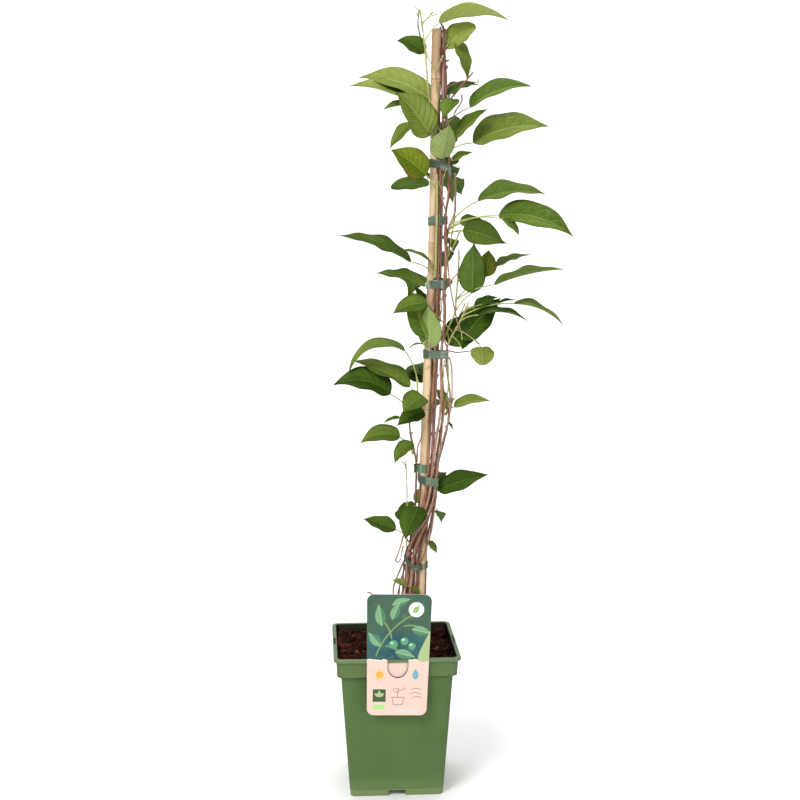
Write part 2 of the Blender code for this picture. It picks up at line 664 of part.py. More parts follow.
def outside(height, bearing):
    """How far out along a bearing the bundle's tied outline reaches."""
    circles = bundle(height)
    reach = 1e9
    for step in range(-9, 10):
        spread = radians(step * 9)
        at = radians(bearing) + spread
        along = Vector((cos(at), sin(at)))
        reach = min(reach, max(m.dot(along) + r for m, r in circles) / cos(spread))
    return reach


def shoot_path(mass):
    """The points of a mass's own stem, from its foot on the bundle to its tip."""
    stem = next((s for s in STEMS if s.name == mass.host), None)
    if stem:
        foot = stem.top + GAP
        out, bearing = stem_polar(stem, stem.top)
    else:
        foot, bearing = mass.host
        out = touching(foot, bearing, SHOOT_RADIUS)
    bearing = (bearing + 90) % 360 - 90 if mass.ways[0][1] < 90 else bearing % 360
    marks = [(foot, bearing, None)] + list(mass.ways)
    path = []
    for low, high in zip(marks, marks[1:]):
        count = max(2, round((high[0] - low[0]) / SHOOT_STEP))
        for k in range(count):
            share = k / count
            z = between(low[0], high[0], share)
            turn = between(low[1], high[1], smoothly(share))
            stand = between(low[2] or 0.0, high[2], share)
            away = outside(z, turn) + SHOOT_RADIUS + SHOOT_CLEAR + stand
            if low[2] is None:
                away = between(out, away, smoothly(share * SHOOT_LEAVES))
            path.append(on_bearing(z, turn, away))
    z, turn, stand = marks[-1]
    path.append(on_bearing(z, turn, outside(z, turn) + SHOOT_RADIUS + SHOOT_CLEAR + stand))
    return path


def on_bearing(height, bearing, out):
    x, y = cane_axis(height)
    return Vector((x + out * cos(radians(bearing)), y + out * sin(radians(bearing)), height))


def point_at(path, height):
    for low, high in zip(path, path[1:]):
        if height <= high.z:
            break
    share = min(max((height - low.z) / (high.z - low.z), 0), 1)
    return low.lerp(high, share)


def stalk_path(leaf, start, steps=3):
    """A leaf's stalk: an arc that leaves its shoot steeply and flattens."""
    path = [start]
    for step in range(steps):
        rise = leaf.rise + STALK_ARC * (1 - 2 * (step + 0.5) / steps)
        path.append(path[-1] + heading(leaf.bearing, rise) * leaf.stalk / steps)
    return path


def blade_frames(leaf, base, shares):
    """The midrib's points with the way along, the way across and the face of the blade there."""
    frames = []
    point, last = base.copy(), 0.0
    side = 1 if cos(radians(leaf.face)) >= 0 else -1
    for share in shares:
        rise = leaf.pitch - leaf.droop * (share + last) / 2
        point = point + heading(leaf.face, rise) * leaf.blade * (share - last)
        along = heading(leaf.face, leaf.pitch - leaf.droop * share)
        across = heading(leaf.face + 90, 0)
        roll = Matrix.Rotation(radians(leaf.roll * side), 3, along)
        across = roll @ across
        frames.append((point.copy(), along, across, along.cross(across)))
        last = share
    return frames


def blade(leaf, base, thick):
    """A leaf's solid: six-sided rings, folded along the midrib."""
    rings = []
    frames = blade_frames(leaf, base, [share for share, _ in LEAF_OUTLINE])
    for (point, along, across, up), (share, wide) in zip(frames, LEAF_OUTLINE):
        half = leaf.blade * leaf.width / 2 * wide
        lift = half * sin(radians(LEAF_FOLD))
        left, right = point + across * half + up * lift, point - across * half + up * lift
        rings.append([
            left - up * thick / 2, left + up * thick / 2, point + up * thick / 2,
            right + up * thick / 2, right - up * thick / 2, point - up * thick / 2,
        ])
    return loft(rings)


def leaf_solids(leaf, start, grow=0.0):
    """The stalk's and the blade's points and faces."""
    stalk = stalk_path(leaf, start)
    root = stalk[-1] + (stalk[-1] - stalk[-2]).normalized() * STALK_ROOT
    solids = [tube(stalk[:-1] + [root], [PETIOLE_RADIUS + grow] * len(stalk), 3)]
    if leaf.blade:
        solids.append(blade(leaf, stalk[-1], max(leaf.blade * LEAF_THICK, 0.7) + 2 * grow))
    return solids


def tree_of(solids):
    points, faces = [], []
    for some, skin in solids:
        faces += [tuple(k + len(points) for k in face) for face in skin]
        points += some
    return BVHTree.FromPolygons(points, faces)


def settled(leaf, start, others):
    """The leaf turned a little where it would touch something, or None where it still would."""
    for nudge in NUDGES:
        turned = leaf._replace(bearing=leaf.bearing + nudge, face=leaf.face + nudge)
        tree = tree_of(leaf_solids(turned, start, GAP))
        if not any(tree.overlap(other) for other in others):
            return turned
    return None


def extra_leaves(mass, path, chance):
    if not mass.extra:
        return
    low, high = path[1].z, path[-1].z
    for k in range(mass.extra.count):
        share = (k + chance.uniform(0.2, 0.8)) / mass.extra.count
        bearing = between(mass.extra.low, mass.extra.high, (k * 0.618 + chance.random() * 0.3) % 1)
        yield Leaf(
            between(low, high, share), bearing, chance.uniform(*EXTRA_STALK),
            chance.uniform(*EXTRA_RISE), bearing + chance.uniform(-6, 6),
            chance.uniform(*EXTRA_BLADE), chance.uniform(*EXTRA_PITCH),
            chance.uniform(*EXTRA_DROOP), chance.uniform(*EXTRA_ROLL),
        )


def plan_masses(limbs):
    """Each mass with its shoot's path and its settled leaves, clear of the limbs and each other."""
    chance = random.Random(SEED)
    shoots = {mass.name: shoot_path(mass) for mass in MASSES}
    trees = {
        name: tree_of([tube(path, [SHOOT_RADIUS + GAP] * len(path), 5)])
        for name, path in shoots.items()
    }
    placed, plans = [], []
    for mass in MASSES:
        path = shoots[mass.name]
        others = limbs + placed + [tree for name, tree in trees.items() if name != mass.name]
        kept = []
        for leaf in list(mass.leaves) + list(extra_leaves(mass, path, chance)):
            start = point_at(path, leaf.height)
            found = settled(leaf, start, others)
            if found:
                kept.append((found, start))
        placed += [tree_of(leaf_solids(leaf, start, GAP)) for leaf, start in kept]
        plans.append((mass, path, kept))
    return plans


def make_mass(mass, path, leaves, parent):
    count = len(path)
    radii = [between(SHOOT_RADIUS, SHOOT_TIP_RADIUS, k / (count - 1)) for k in range(count)]
    points, faces = tube(path, radii, 5)
    points[:5] = [(p[0], p[1], path[0].z) for p in points[:5]]
    whole = plant_object(mass.name, points, faces, "leaf", parent)
    pieces = []
    for leaf, start in leaves:
        for points, faces in leaf_solids(leaf, start):
            pieces.append(plant_object("leaf_piece", points, faces, "leaf", parent))
    if pieces:
        combine(whole, pieces, "UNION")


# ---- the whole thing -----------------------------------------------------------------

clear_scene()
plant = bpy.data.objects.new("plant", None)
bpy.context.scene.collection.objects.link(plant)
plant.rotation_euler.z = radians(PLANT_TURN)
bpy.context.view_layer.update()

make_pot()
make_soil()
make_label()
make_cane(plant)
for each in STEMS:
    make_stem(each, plant)
for order, (tie_height, tie_slope) in enumerate(TIES, 1):
    make_tie(order, tie_height, tie_slope, plant)
bpy.context.view_layer.update()
limb_trees = []
for item in plant.children:
    limb_trees.append(BVHTree.FromPolygons(
        [v.co / MM for v in item.data.vertices], [tuple(p.vertices) for p in item.data.polygons]
    ))
for plan in plan_masses(limb_trees):
    make_mass(*plan, plant)
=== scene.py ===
"""The looks of a young hardy kiwi vine, tied to a bamboo cane in a square nursery pot.

Sizes are in millimetres and degrees until a mesh is made, which turns them into metres.
Only the studio is laid out in metres, and finishes are mapped in metres too.
Round the cane a compass bearing of 0 points right, 90 to the back, 180 left and 270 front.
"""

import random
from collections import namedtuple
from math import cos, exp, pi, radians, sin, sqrt, tan

import bmesh
import bpy
import numpy as np
from mathutils import Euler, Matrix, Vector, noise


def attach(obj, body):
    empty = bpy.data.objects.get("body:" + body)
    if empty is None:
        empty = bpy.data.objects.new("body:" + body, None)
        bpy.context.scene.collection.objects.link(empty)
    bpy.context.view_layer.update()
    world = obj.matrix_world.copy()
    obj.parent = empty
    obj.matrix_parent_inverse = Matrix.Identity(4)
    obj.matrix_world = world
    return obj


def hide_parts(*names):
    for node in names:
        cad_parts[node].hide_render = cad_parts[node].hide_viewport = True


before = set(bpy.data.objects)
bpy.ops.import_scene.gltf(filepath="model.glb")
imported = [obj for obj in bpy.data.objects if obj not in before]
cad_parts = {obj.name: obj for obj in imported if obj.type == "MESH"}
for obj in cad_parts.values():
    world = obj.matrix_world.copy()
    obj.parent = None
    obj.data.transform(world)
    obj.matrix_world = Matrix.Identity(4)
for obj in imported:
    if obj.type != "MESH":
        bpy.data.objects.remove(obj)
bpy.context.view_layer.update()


# ---- studio ----
# A white sweep of board that runs from the floor up behind the plant, one big soft light
# from above the left shoulder, weaker ones from the right, from overhead and on the board
# behind, and a pale room all round.

MM = 0.001                # one millimetre in metres
PLANT_TURN = -3.6         # the plant's right against the pot's right
CAMERA_PLACE, CAMERA_DIP = (0.0071, -1.612, 0.689), 0.134
LENS, SENSOR_WIDTH, NEAREST, FURTHEST = 61.245, 36.0, 0.05, 30
SWEEP_FRONT, SWEEP_BEND, SWEEP_RADIUS, SWEEP_TOP, SWEEP_WIDTH = -3.5, 1.9, 1.0, 4.5, 4.5
SWEEP_STEPS, SWEEP_TONES = 12, ((0.95, 0.95, 0.95, 1), (0.97, 0.97, 0.97, 1))
ROOM_LIGHT, WHITE = 0.46, (1.0, 1.0, 1.0, 1)
LIGHTS = (                # name, place and aim in metres, size in metres, power in watts
    ("key light", (-1.3, -1.9, 2.3), (0, 0, 0.45), 1.3, 62),
    ("fill light", (1.7, -1.7, 0.5), (0, 0, 0.5), 1.4, 10),
    ("top light", (0.1, 0.1, 2.6), (0, 0, 0), 1.4, 12),
    ("wall light", (0.0, 1.0, 3.2), (0, 3.0, 1.6), 2.0, 60),
)
DULL = 0.16               # how much of a mirror a finish is, if it isn't told otherwise


def paint(red, green, blue):
    """A colour as the eye reads it, of 0 to 255, turned into light."""
    shares = [channel / 255 for channel in (red, green, blue)]
    return (*[s / 12.92 if s <= 0.04045 else ((s + 0.055) / 1.055) ** 2.4 for s in shares], 1)


class Wire:
    """A value on its way through a tree of nodes. Sums on it add Math nodes."""

    def __init__(self, board, socket):
        self.board, self.socket = board, socket

    def sum(self, operation, *others):
        values = {k: other for k, other in enumerate((self, *others))}
        return self.board.node("ShaderNodeMath", {"operation": operation}, values)

    def __add__(self, other):
        return self.sum("ADD", other)

    def __sub__(self, other):
        return self.sum("SUBTRACT", other)

    def __mul__(self, other):
        return self.sum("MULTIPLY", other)

    def __truediv__(self, other):
        return self.sum("DIVIDE", other)

    def __rsub__(self, other):
        return self.board.node("ShaderNodeMath", {"operation": "SUBTRACT"}, {0: other, 1: self})

    __radd__, __rmul__ = __add__, __mul__

    def size(self):
        return self.sum("ABSOLUTE")

    def within(self, low, high):
        """0 below low and 1 above high, eased between them; the other way round if low is above."""
        if low > high:
            return 1 - self.within(high, low)
        return self.board.node(
            "ShaderNodeMapRange", {"interpolation_type": "SMOOTHSTEP"},
            {"Value": self, "From Min": low, "From Max": high},
        )


class Board:
    """A tree of nodes, with the one method that adds a node to it."""

    def __init__(self, tree):
        self.tree = tree

    def node(self, kind, settings=None, values=None, out=0):
        made = self.tree.nodes.new(kind)
        for key, value in (settings or {}).items():
            setattr(made, key, value)
        for key, value in (values or {}).items():
            self.plug(value, made.inputs[key])
        return Wire(self, made.outputs[out]) if made.outputs else made

    def plug(self, value, socket):
        if isinstance(value, Wire):
            self.tree.links.new(value.socket, socket)
        else:
            socket.default_value = value


class Finish(Board):
    """A material: one Principled shader, the nodes that feed it and the colour laid so far."""

    def __init__(self, name, roughness=0.5, **constants):
        self.material = bpy.data.materials.new(name)
        self.material.use_nodes = True
        super().__init__(self.material.node_tree)
        self.shader = self.tree.nodes["Principled BSDF"]
        self.set(roughness=roughness, specular_ior_level=DULL)
        self.set(**constants)
        self.place = self.node("ShaderNodeTexCoord", out="Object")

    def set(self, **values):
        for key, value in values.items():
            self.plug(value, self.shader.inputs[key.replace("_", " ").title().replace("Ior", "IOR")])

    def feed(self, **wires):
        """Plugs the colour and these values into the shader, and hands over the material."""
        self.set(base_color=self.colour, **wires)
        return self.material

    def axis(self, letter, place=None):
        return self.node("ShaderNodeSeparateXYZ", None, {0: place or self.place}, letter)

    def stretched(self, scale, place=None):
        return self.node("ShaderNodeMapping", None, {"Vector": place or self.place, "Scale": scale})

    def cloud(self, scale, detail, rough=0.5, place=None):
        """Soft noise from 0 to 1, with its grain in lengths per metre."""
        values = {"Vector": place or self.place, "Scale": scale, "Detail": detail, "Roughness": rough}
        return self.node("ShaderNodeTexNoise", None, values)

    def grain(self, scales, detail, rough):
        """Noise that is stretched by a scale of its own along each axis."""
        return self.cloud(1.0, detail, rough, self.stretched(scales))

    def cells(self, scale, feature="F1", place=None):
        values = {"Vector": place or self.place, "Scale": scale}
        return self.node("ShaderNodeTexVoronoi", {"feature": feature}, values)

    def mix(self, share, low, high):
        return self.node("ShaderNodeMix", {"data_type": "RGBA"}, {0: share, 6: low, 7: high}, 2)

    def ground(self, share, low, high):
        """The first colours, one at a share of 0 and the other at 1."""
        self.colour = self.mix(share, paint(*low), paint(*high))

    def coat(self, share, colour):
        """A colour laid over what is there, as thick as the share says."""
        self.colour = self.mix(share, self.colour, paint(*colour))

    def relief(self, height, depth_mm, strength, under=None):
        """A bump of a depth in millimetres, laid on another one if there is one."""
        values = {"Height": height, "Distance": depth_mm * MM, "Strength": strength}
        if under:
            values["Normal"] = under
        return self.node("ShaderNodeBump", None, values)


def placed(name, data):
    """A new object of the scene."""
    made = bpy.data.objects.new(name, data)
    bpy.context.scene.collection.objects.link(made)
    return made


def new_piece(name, points, faces, finishes=(), choice=None, smooth=True):
    """An object at the origin, of points in millimetres, and the finish that each face takes."""
    mesh = bpy.data.meshes.new(name)
    mesh.from_pydata([tuple(c * MM for c in p) for p in points], [], faces)
    for finish in finishes:
        mesh.materials.append(finish)
    if choice is not None:
        mesh.polygons.foreach_set("material_index", choice)
    mesh.polygons.foreach_set("use_smooth", [smooth] * len(mesh.polygons))
    mesh.update()
    return placed(name, mesh)


def make_sweep():
    profile = [(SWEEP_FRONT, 0.0), (SWEEP_BEND, 0.0)]
    for step in range(1, SWEEP_STEPS + 1):
        angle = pi / 2 * step / SWEEP_STEPS
        profile.append((SWEEP_BEND + SWEEP_RADIUS * sin(angle), SWEEP_RADIUS * (1 - cos(angle))))
    profile.append((SWEEP_BEND + SWEEP_RADIUS, SWEEP_TOP))
    points = [(x / MM, y / MM, z / MM) for y, z in profile for x in (-SWEEP_WIDTH, SWEEP_WIDTH)]
    faces = [(2 * k, 2 * k + 1, 2 * k + 3, 2 * k + 2) for k in range(len(profile) - 1)]
    board = Finish("studio board", 0.9)
    board.colour = board.mix(board.cloud(3.0, 4), *SWEEP_TONES)
    sweep = new_piece("studio_sweep", points, faces, [board.feed()])
    sweep.visible_glossy = False


def add_light(name, place, aim, size, power):
    lamp = bpy.data.lights.new(name, "AREA")
    lamp.shape = "DISK"
    lamp.size = size
    lamp.energy = power
    made = placed(name, lamp)
    made.location = place
    made.rotation_euler = (Vector(aim) - Vector(place)).to_track_quat("-Z", "Y").to_euler()


def add_camera():
    """A camera that looks at the plant from the front, and dips by an angle in radians."""
    lens = bpy.data.cameras.new("camera")
    lens.sensor_width = SENSOR_WIDTH
    lens.lens = LENS
    lens.clip_start, lens.clip_end = NEAREST, FURTHEST
    camera = placed("camera", lens)
    aim = Euler((pi / 2 - CAMERA_DIP, 0, 0)).to_matrix().to_4x4()
    turn = Matrix.Rotation(radians(PLANT_TURN), 4, "Z")
    camera.matrix_world = turn @ Matrix.Translation(CAMERA_PLACE) @ aim
    bpy.context.scene.camera = camera


make_sweep()
add_camera()
for light in LIGHTS:
    add_light(*light)
room = bpy.data.worlds.new("pale room")
room.use_nodes = True
room.node_tree.nodes["Background"].inputs["Color"].default_value = WHITE
room.node_tree.nodes["Background"].inputs["Strength"].default_value = ROOM_LIGHT
bpy.context.scene.world = room
bpy.context.scene.view_settings.view_transform = "Standard"


# ---- nursery pot ----
# A square pot of moulded olive-green plastic with a rolled lip, a deep collar and a foot
# band. The floor is raised inside the band, with a notch in each side, a drain hole near
# each corner and a boss in the middle. A slot behind each side of the lip takes a label.

GAP = 0.4                 # between solids that touch in the real thing
RIM_HALF, RIM_TOP, RIM_BOTTOM = 75.0, 175.6, 171.1
COLLAR_TOP_HALF, COLLAR_FOOT_HALF, COLLAR_FOOT = 72.0, 71.0, 152.1
BODY_TOP_HALF, BODY_FOOT_HALF = 66.4, 56.4
BAND_TOP_HALF, BAND_FOOT_HALF, BAND_TOP = 56.0, 55.6, 7.0
WALL = 1.8
FLOOR_TOP, FLOOR_UNDER = 9.6, 7.2
CORNER, CORNER_STEPS = 8.5, 9
LEDGE_RISE, ARC_MIDDLE = 0.3, 63.4         # ARC_MIDDLE: of the rim's corner arcs
TAPER = 0.1               # how much a corner tightens for each millimetre down the taper
FILLETS, FILLET_STEPS = (0.3, 0.9), 3     # radii at sharp and at soft edges of the profile
FILLET_SHARE = 0.45       # the most that a fillet takes of the edge beside it
LIP_FILLET = 1.44         # along the lip's outer top edge
NOTCH_TOP, NOTCH_FOOT, NOTCH_HEIGHT = 20.0, 22.4, 6.9
RIM_SLOT, RIM_SLOT_DEPTH, RIM_BAR = 27.0, 2.0, 1.2
SLOT_SKIN = 0.9           # the floor of the slots that nothing hangs in
DRAIN_HOLE, DRAIN_PLACE, CENTRE_FOOT, ROUND_SIDES = 10.0, 34.0, 14.0, (24, 32)
PAST = 2.0                # how far a cutter runs past what it cuts
# Heights in metres, each from where a new tone of the plastic starts to where it is full; the collar's
# lighter tone is painted light
COLLAR_SHADING_HEIGHTS, FOOT_TONE, BAND_TONE = (0.150, 0.1535), (0.030, 0.012), (0.0078, 0.0068)
LIP_TONE, WORN_EDGE = (0.1704, 0.1718), 0.0074
# The same from the pot's middle outwards: where the inner wall's painted shade starts, and the middle of
# the slots
INNER_SHADE_REACH, SLOT_MIDDLE = (0.0711, 0.0706), 0.0728


def between(low, high, share):
    return low + (high - low) * share


def smoothly(share):
    share = min(max(share, 0.0), 1.0)
    return share * share * (3 - 2 * share)


def loft(rings, start=True, end=True):
    """The points and faces of a skin over rings of equal length, capped at its ends."""
    count = len(rings[0])
    points = [point for ring in rings for point in ring]
    faces = []
    for row in range(len(rings) - 1):
        a, b = row * count, (row + 1) * count
        for k in range(count):
            n = (k + 1) % count
            faces.append((a + k, a + n, b + n, b + k))
    if start:
        faces.append(tuple(range(count - 1, -1, -1)))
    if end:
        faces.append(tuple(range((len(rings) - 1) * count, len(rings) * count)))
    return points, faces


def tube(path, radii, sides):
    """Rings round a path, which turn with it as little as they can."""
    path = [Vector(p) for p in path]
    rings, across = [], None
    for k, point in enumerate(path):
        ahead = (path[min(k + 1, len(path) - 1)] - path[max(k - 1, 0)]).normalized()
        if across is None:
            across = Vector((1, 0, 0)) if abs(ahead.x) < 0.8 else Vector((0, 0, 1))
        across = (across - ahead * across.dot(ahead)).normalized()
        up = ahead.cross(across)
        turns = [2 * pi * s / sides for s in range(sides)]
        rings.append([point + (across * cos(t) + up * sin(t)) * radii[k] for t in turns])
    return rings


def rounded_square(half, corner, height):
    """A ring with arcs for corners, which starts at the right end of the back side."""
    ring = []
    for quarter in range(4):
        start = quarter * pi / 2
        middle = Vector((half - corner, half - corner))
        middle.rotate(Matrix.Rotation(start, 2))
        for step in range(CORNER_STEPS + 1):
            angle = start + step * pi / 2 / CORNER_STEPS
            ring.append((middle.x + corner * cos(angle), middle.y + corner * sin(angle), height))
    return ring


def eased(profile):
    """A profile of half width, height and inset with its corners rounded by their radii."""
    found = [Vector(profile[0][:3])]
    for before, here, after in zip(profile, profile[1:], profile[2:]):
        corner, radius = Vector(here[:3]), here[3]
        to_before, to_after = Vector(before[:3]) - corner, Vector(after[:3]) - corner
        start = corner + to_before.normalized() * min(radius, to_before.length * FILLET_SHARE)
        end = corner + to_after.normalized() * min(radius, to_after.length * FILLET_SHARE)
        for step in range(FILLET_STEPS + 1):
            share = step / FILLET_STEPS
            found.append(start.lerp(corner, share).lerp(corner.lerp(end, share), share))
    return found + [Vector(profile[-1][:3])]


def pot_ring(half, height, inset):
    """A ring of the pot's outside of a half width, or of its inside by an inset."""
    corner = CORNER - (RIM_HALF - half) * TAPER
    return rounded_square(half - inset, corner - inset, height)


def body_half(height):
    """Half the body's outer width at a height above the foot band."""
    return between(BODY_FOOT_HALF, BODY_TOP_HALF, (height - BAND_TOP) / (COLLAR_FOOT - BAND_TOP))


def combine(target, others, operation):
    """One Boolean of the target with all the others, which is applied."""
    group = bpy.data.collections.new(target.name + "_group")
    bpy.context.scene.collection.children.link(group)
    for other in others:
        bpy.context.scene.collection.objects.unlink(other)
        group.objects.link(other)
    step = target.modifiers.new(operation.title(), "BOOLEAN")
    step.operand_type = "COLLECTION"
    step.collection = group
    step.operation = operation
    step.solver = "EXACT"
    mesh = applied(target)
    for other in others:
        bpy.data.objects.remove(other)
    bpy.data.collections.remove(group)
    return mesh


def applied(target):
    """Turns what the target's modifiers make into its own plain mesh."""
    bpy.context.view_layer.update()
    ready = target.evaluated_get(bpy.context.evaluated_depsgraph_get())
    mesh = bpy.data.meshes.new_from_object(ready)
    target.modifiers.clear()
    target.data = mesh
    return mesh


def face_out(item):
    """Turns all the faces of a closed mesh outwards."""
    mesh = bmesh.new()
    mesh.from_mesh(item.data)
    bmesh.ops.recalc_face_normals(mesh, faces=mesh.faces)
    mesh.to_mesh(item.data)
    mesh.free()


def wall_cutter(name, outline, reach, turn):
    """A block of an outline of x and z, from one distance out to another, on a turned side."""
    rings = [[turn @ Vector((x, -y, z)) for x, z in outline] for y in reach]
    block = new_piece(name, *loft(rings))
    face_out(block)
    return block


def pot_finish():
    pot = Finish("moulded olive plastic", 0.42, specular_ior_level=0.3)
    height = pot.axis("Z")
    sides = pot.axis("X")
    depth = pot.axis("Y")
    mottle = pot.cloud(22, 4, 0.55)
    drawn = pot.grain((60, 60, 7), 3, 0.5)
    pot.ground(mottle.within(0.3, 0.7), (80, 106, 55), (85, 111, 60))
    pot.coat(drawn.within(0.45, 0.75) * 0.3, (90, 116, 64))
    # painted light: the collar is painted lighter than the body below it
    pot.coat(height.within(*COLLAR_SHADING_HEIGHTS) * 0.8, (94, 118, 69))
    pot.coat(height.within(*FOOT_TONE) * 0.85, (102, 125, 74))
    pot.coat(height.within(*BAND_TONE) * 0.7, (126, 142, 94))
    wear = (height - WORN_EDGE).size().within(0.0007, 0.0001)
    pot.coat(wear * 0.6, (150, 166, 124))
    pot.coat(height.within(*LIP_TONE) * 0.85, (104, 126, 88))
    # how far out a point of the lip is, measured round the corners as on the flats
    arc = [(side.size() - ARC_MIDDLE * MM).sum("MAXIMUM", 0.0) for side in (sides, depth)]
    reach = (arc[0] * arc[0] + arc[1] * arc[1]).sum("SQRT") + ARC_MIDDLE * MM
    # painted shade: the inner wall under the lip is painted dark, and its left and right sides nearly
    # black
    inside = reach.within(*INNER_SHADE_REACH) * height.within(*COLLAR_SHADING_HEIGHTS) * height.within(0.1755, 0.1745)
    pot.coat(inside * 0.95, (20, 29, 8))
    pot.coat(inside * sides.size().within(0.0655, 0.0670), (12, 16, 6))
    # painted shade: the label slots in the lip are painted dark inside
    slots = (reach - SLOT_MIDDLE).size().within(0.00115, 0.00095) * height.within(0.1754, 0.1746)
    slots = slots * (sides.size().sum("MINIMUM", depth.size()).within(0.0136, 0.0134))
    slots = slots * height.within(0.1712, 0.1718)
    pot.coat(slots * 0.9, (24, 32, 14))
    specks = pot.cells(260).within(0.10, 0.04) * pot.cloud(30, 2).within(0.60, 0.68)
    pot.coat(specks * 0.6, (150, 160, 122))
    scuff = pot.cloud(140, 5, 0.65, pot.stretched((1, 1, 0.25))).within(0.56, 0.72)
    skin = pot.relief(pot.cloud(900, 3, 0.6), 0.05, 0.5)
    skin = pot.relief(mottle, 0.5, 0.25, skin)
    return pot.feed(roughness=0.36 + scuff * 0.16 + mottle * 0.1, normal=skin)


def make_pot():
    ledge = COLLAR_FOOT + WALL
    sharp, soft = FILLETS
    profile = (
        (BAND_TOP_HALF, FLOOR_UNDER, WALL, 0), (BAND_FOOT_HALF, 0.0, WALL, sharp),
        (BAND_FOOT_HALF, 0.0, 0, soft), (BAND_TOP_HALF, BAND_TOP, 0, sharp),
        (BODY_FOOT_HALF, BAND_TOP + LEDGE_RISE, 0, sharp),
        (BODY_TOP_HALF, COLLAR_FOOT, 0, sharp),
        (COLLAR_FOOT_HALF, COLLAR_FOOT + LEDGE_RISE, 0, soft),
        (COLLAR_TOP_HALF, RIM_BOTTOM, 0, soft), (RIM_HALF, RIM_BOTTOM + LEDGE_RISE, 0, soft),
        (RIM_HALF, RIM_TOP, 0, LIP_FILLET), (COLLAR_TOP_HALF, RIM_TOP, WALL, soft),
        (COLLAR_FOOT_HALF, ledge, WALL, soft), (BODY_TOP_HALF, ledge, WALL, sharp),
        (body_half(FLOOR_TOP), FLOOR_TOP, WALL, 0),
    )
    rings = [pot_ring(half, z, inset) for half, z, inset in eased(profile)]
    pot = new_piece("nursery_pot", *loft(rings))
    core = [(0, 0, 0), (0, 0, (FLOOR_UNDER + FLOOR_TOP) / 2)]
    boss = tube(core, (CENTRE_FOOT / 2,) * 2, ROUND_SIDES[1])
    combine(pot, [new_piece("boss", *loft(boss))], "UNION")
    cutters = []
    notch = (
        (-NOTCH_FOOT / 2, -PAST), (NOTCH_FOOT / 2, -PAST),
        (NOTCH_TOP / 2, NOTCH_HEIGHT), (-NOTCH_TOP / 2, NOTCH_HEIGHT),
    )
    bar, half = RIM_HALF - RIM_BAR, RIM_SLOT / 2
    for side in range(4):
        turn = Matrix.Rotation(side * pi / 2, 4, "Z")
        band = (BAND_FOOT_HALF + PAST, BAND_FOOT_HALF - WALL - PAST)
        cutters.append(wall_cutter("notch_cutter", notch, band, turn))
        foot = RIM_BOTTOM + SLOT_SKIN if side else RIM_BOTTOM - PAST
        slot = [(-half, foot), (half, foot), (half, RIM_TOP + PAST), (-half, RIM_TOP + PAST)]
        cutters.append(wall_cutter("slot_cutter", slot, (bar, bar - RIM_SLOT_DEPTH), turn))
        place = turn @ Vector((DRAIN_PLACE, DRAIN_PLACE, 0))
        hole = [(place.x, place.y, FLOOR_UNDER - PAST), (place.x, place.y, FLOOR_TOP + PAST)]
        drain = tube(hole, (DRAIN_HOLE / 2,) * 2, ROUND_SIDES[0])
        cutters.append(new_piece("drain_cutter", *loft(drain)))
    mesh = combine(pot, cutters, "DIFFERENCE")
    mesh.materials.append(pot_finish())
    mesh.shade_smooth()
    mesh.set_sharp_from_angle(angle=radians(32))
    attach(pot, "root")
    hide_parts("pot")


make_pot()


# ---- potting mix ----
# Dark compost that fills the pot to a little under the lip, under a loose layer of
# reddish-brown bark chips that lie at all angles. The cane passes down through it.

SOIL_TOP, SOIL_LUMP, SOIL_RINGS = 165.0, 2.2, 40
LUMP_APART, CRUMB_APART = 17, 6
SOIL_EDGE = 12            # the lumps grow in over one part in so many beside the wall
BED_INSET = 3.5           # how far chips keep from the wall
CHIP_SIZE, CHIP_SMALLEST, CHIP_LARGEST = (13.0, 7.5, 3.0), 0.45, 1.5
CHIP_TILT, CHIP_SHAPES = 0.55, ((0.6, 0.55, 0.6), (1.25, 1.2, 1.3))
CHIP_WARP, CHIP_SHIFT = (0.010, 0.010, 0.008), (-0.005, -0.005, -0.0038)
CHIPS_PER_SQUARE_METRE, CHIP_SEED = 42000, 11
CHIP_TONES = (            # dark colour, light colour, and the share of chips that are darker
    ("soaked bark", (22, 9, 6), (44, 20, 13), 0.0),
    ("brown bark", (32, 14, 9), (58, 28, 20), 0.38),
    ("red bark", (50, 22, 15), (84, 42, 31), 0.78),
    ("orange bark", (104, 54, 32), (146, 82, 50), 0.965),
)


def soil_finish():
    soil = Finish("compost", 0.95, specular_ior_level=0.04)
    crumbs = soil.cells(900)
    soil.ground(crumbs.within(0.1, 0.5), (18, 8, 5), (36, 18, 12))
    soil.coat(soil.cloud(120, 4).within(0.55, 0.75), (48, 26, 18))
    return soil.feed(normal=soil.relief(crumbs + soil.cloud(400, 4), 1.2, 0.9))


def chip_finish(name, dark, light):
    bark = Finish(name, 0.85, specular_ior_level=0.06)
    fibres = bark.grain((260, 700, 420), 4, 0.6)
    bark.ground(fibres.within(0.3, 0.72), dark, light)
    bark.coat(bark.cloud(90, 3).within(0.6, 0.75) * 0.5, (22, 10, 7))
    return bark.feed(
        roughness=0.72 + fibres * 0.25, normal=bark.relief(fibres, 0.7, 0.9)
    )


def soil_ring(share):
    """A ring of the top, from the wall at 0 to the middle at 1, lying in lumps."""
    ledge = COLLAR_FOOT + WALL
    edge = between(COLLAR_FOOT_HALF, COLLAR_TOP_HALF, (SOIL_TOP - ledge) / (RIM_TOP - ledge))
    half = (edge - WALL - GAP) * (1 - share)
    ring = []
    for x, y, _ in rounded_square(half, (CORNER - WALL - GAP) * (1 - share), 0):
        lump = noise.noise(Vector((x / LUMP_APART, y / LUMP_APART, 0.3)))
        lump += 0.5 * noise.noise(Vector((x / CRUMB_APART, y / CRUMB_APART, 5)))
        ring.append((x, y, SOIL_TOP + SOIL_LUMP * lump * min(1, share * SOIL_EDGE)))
    return ring


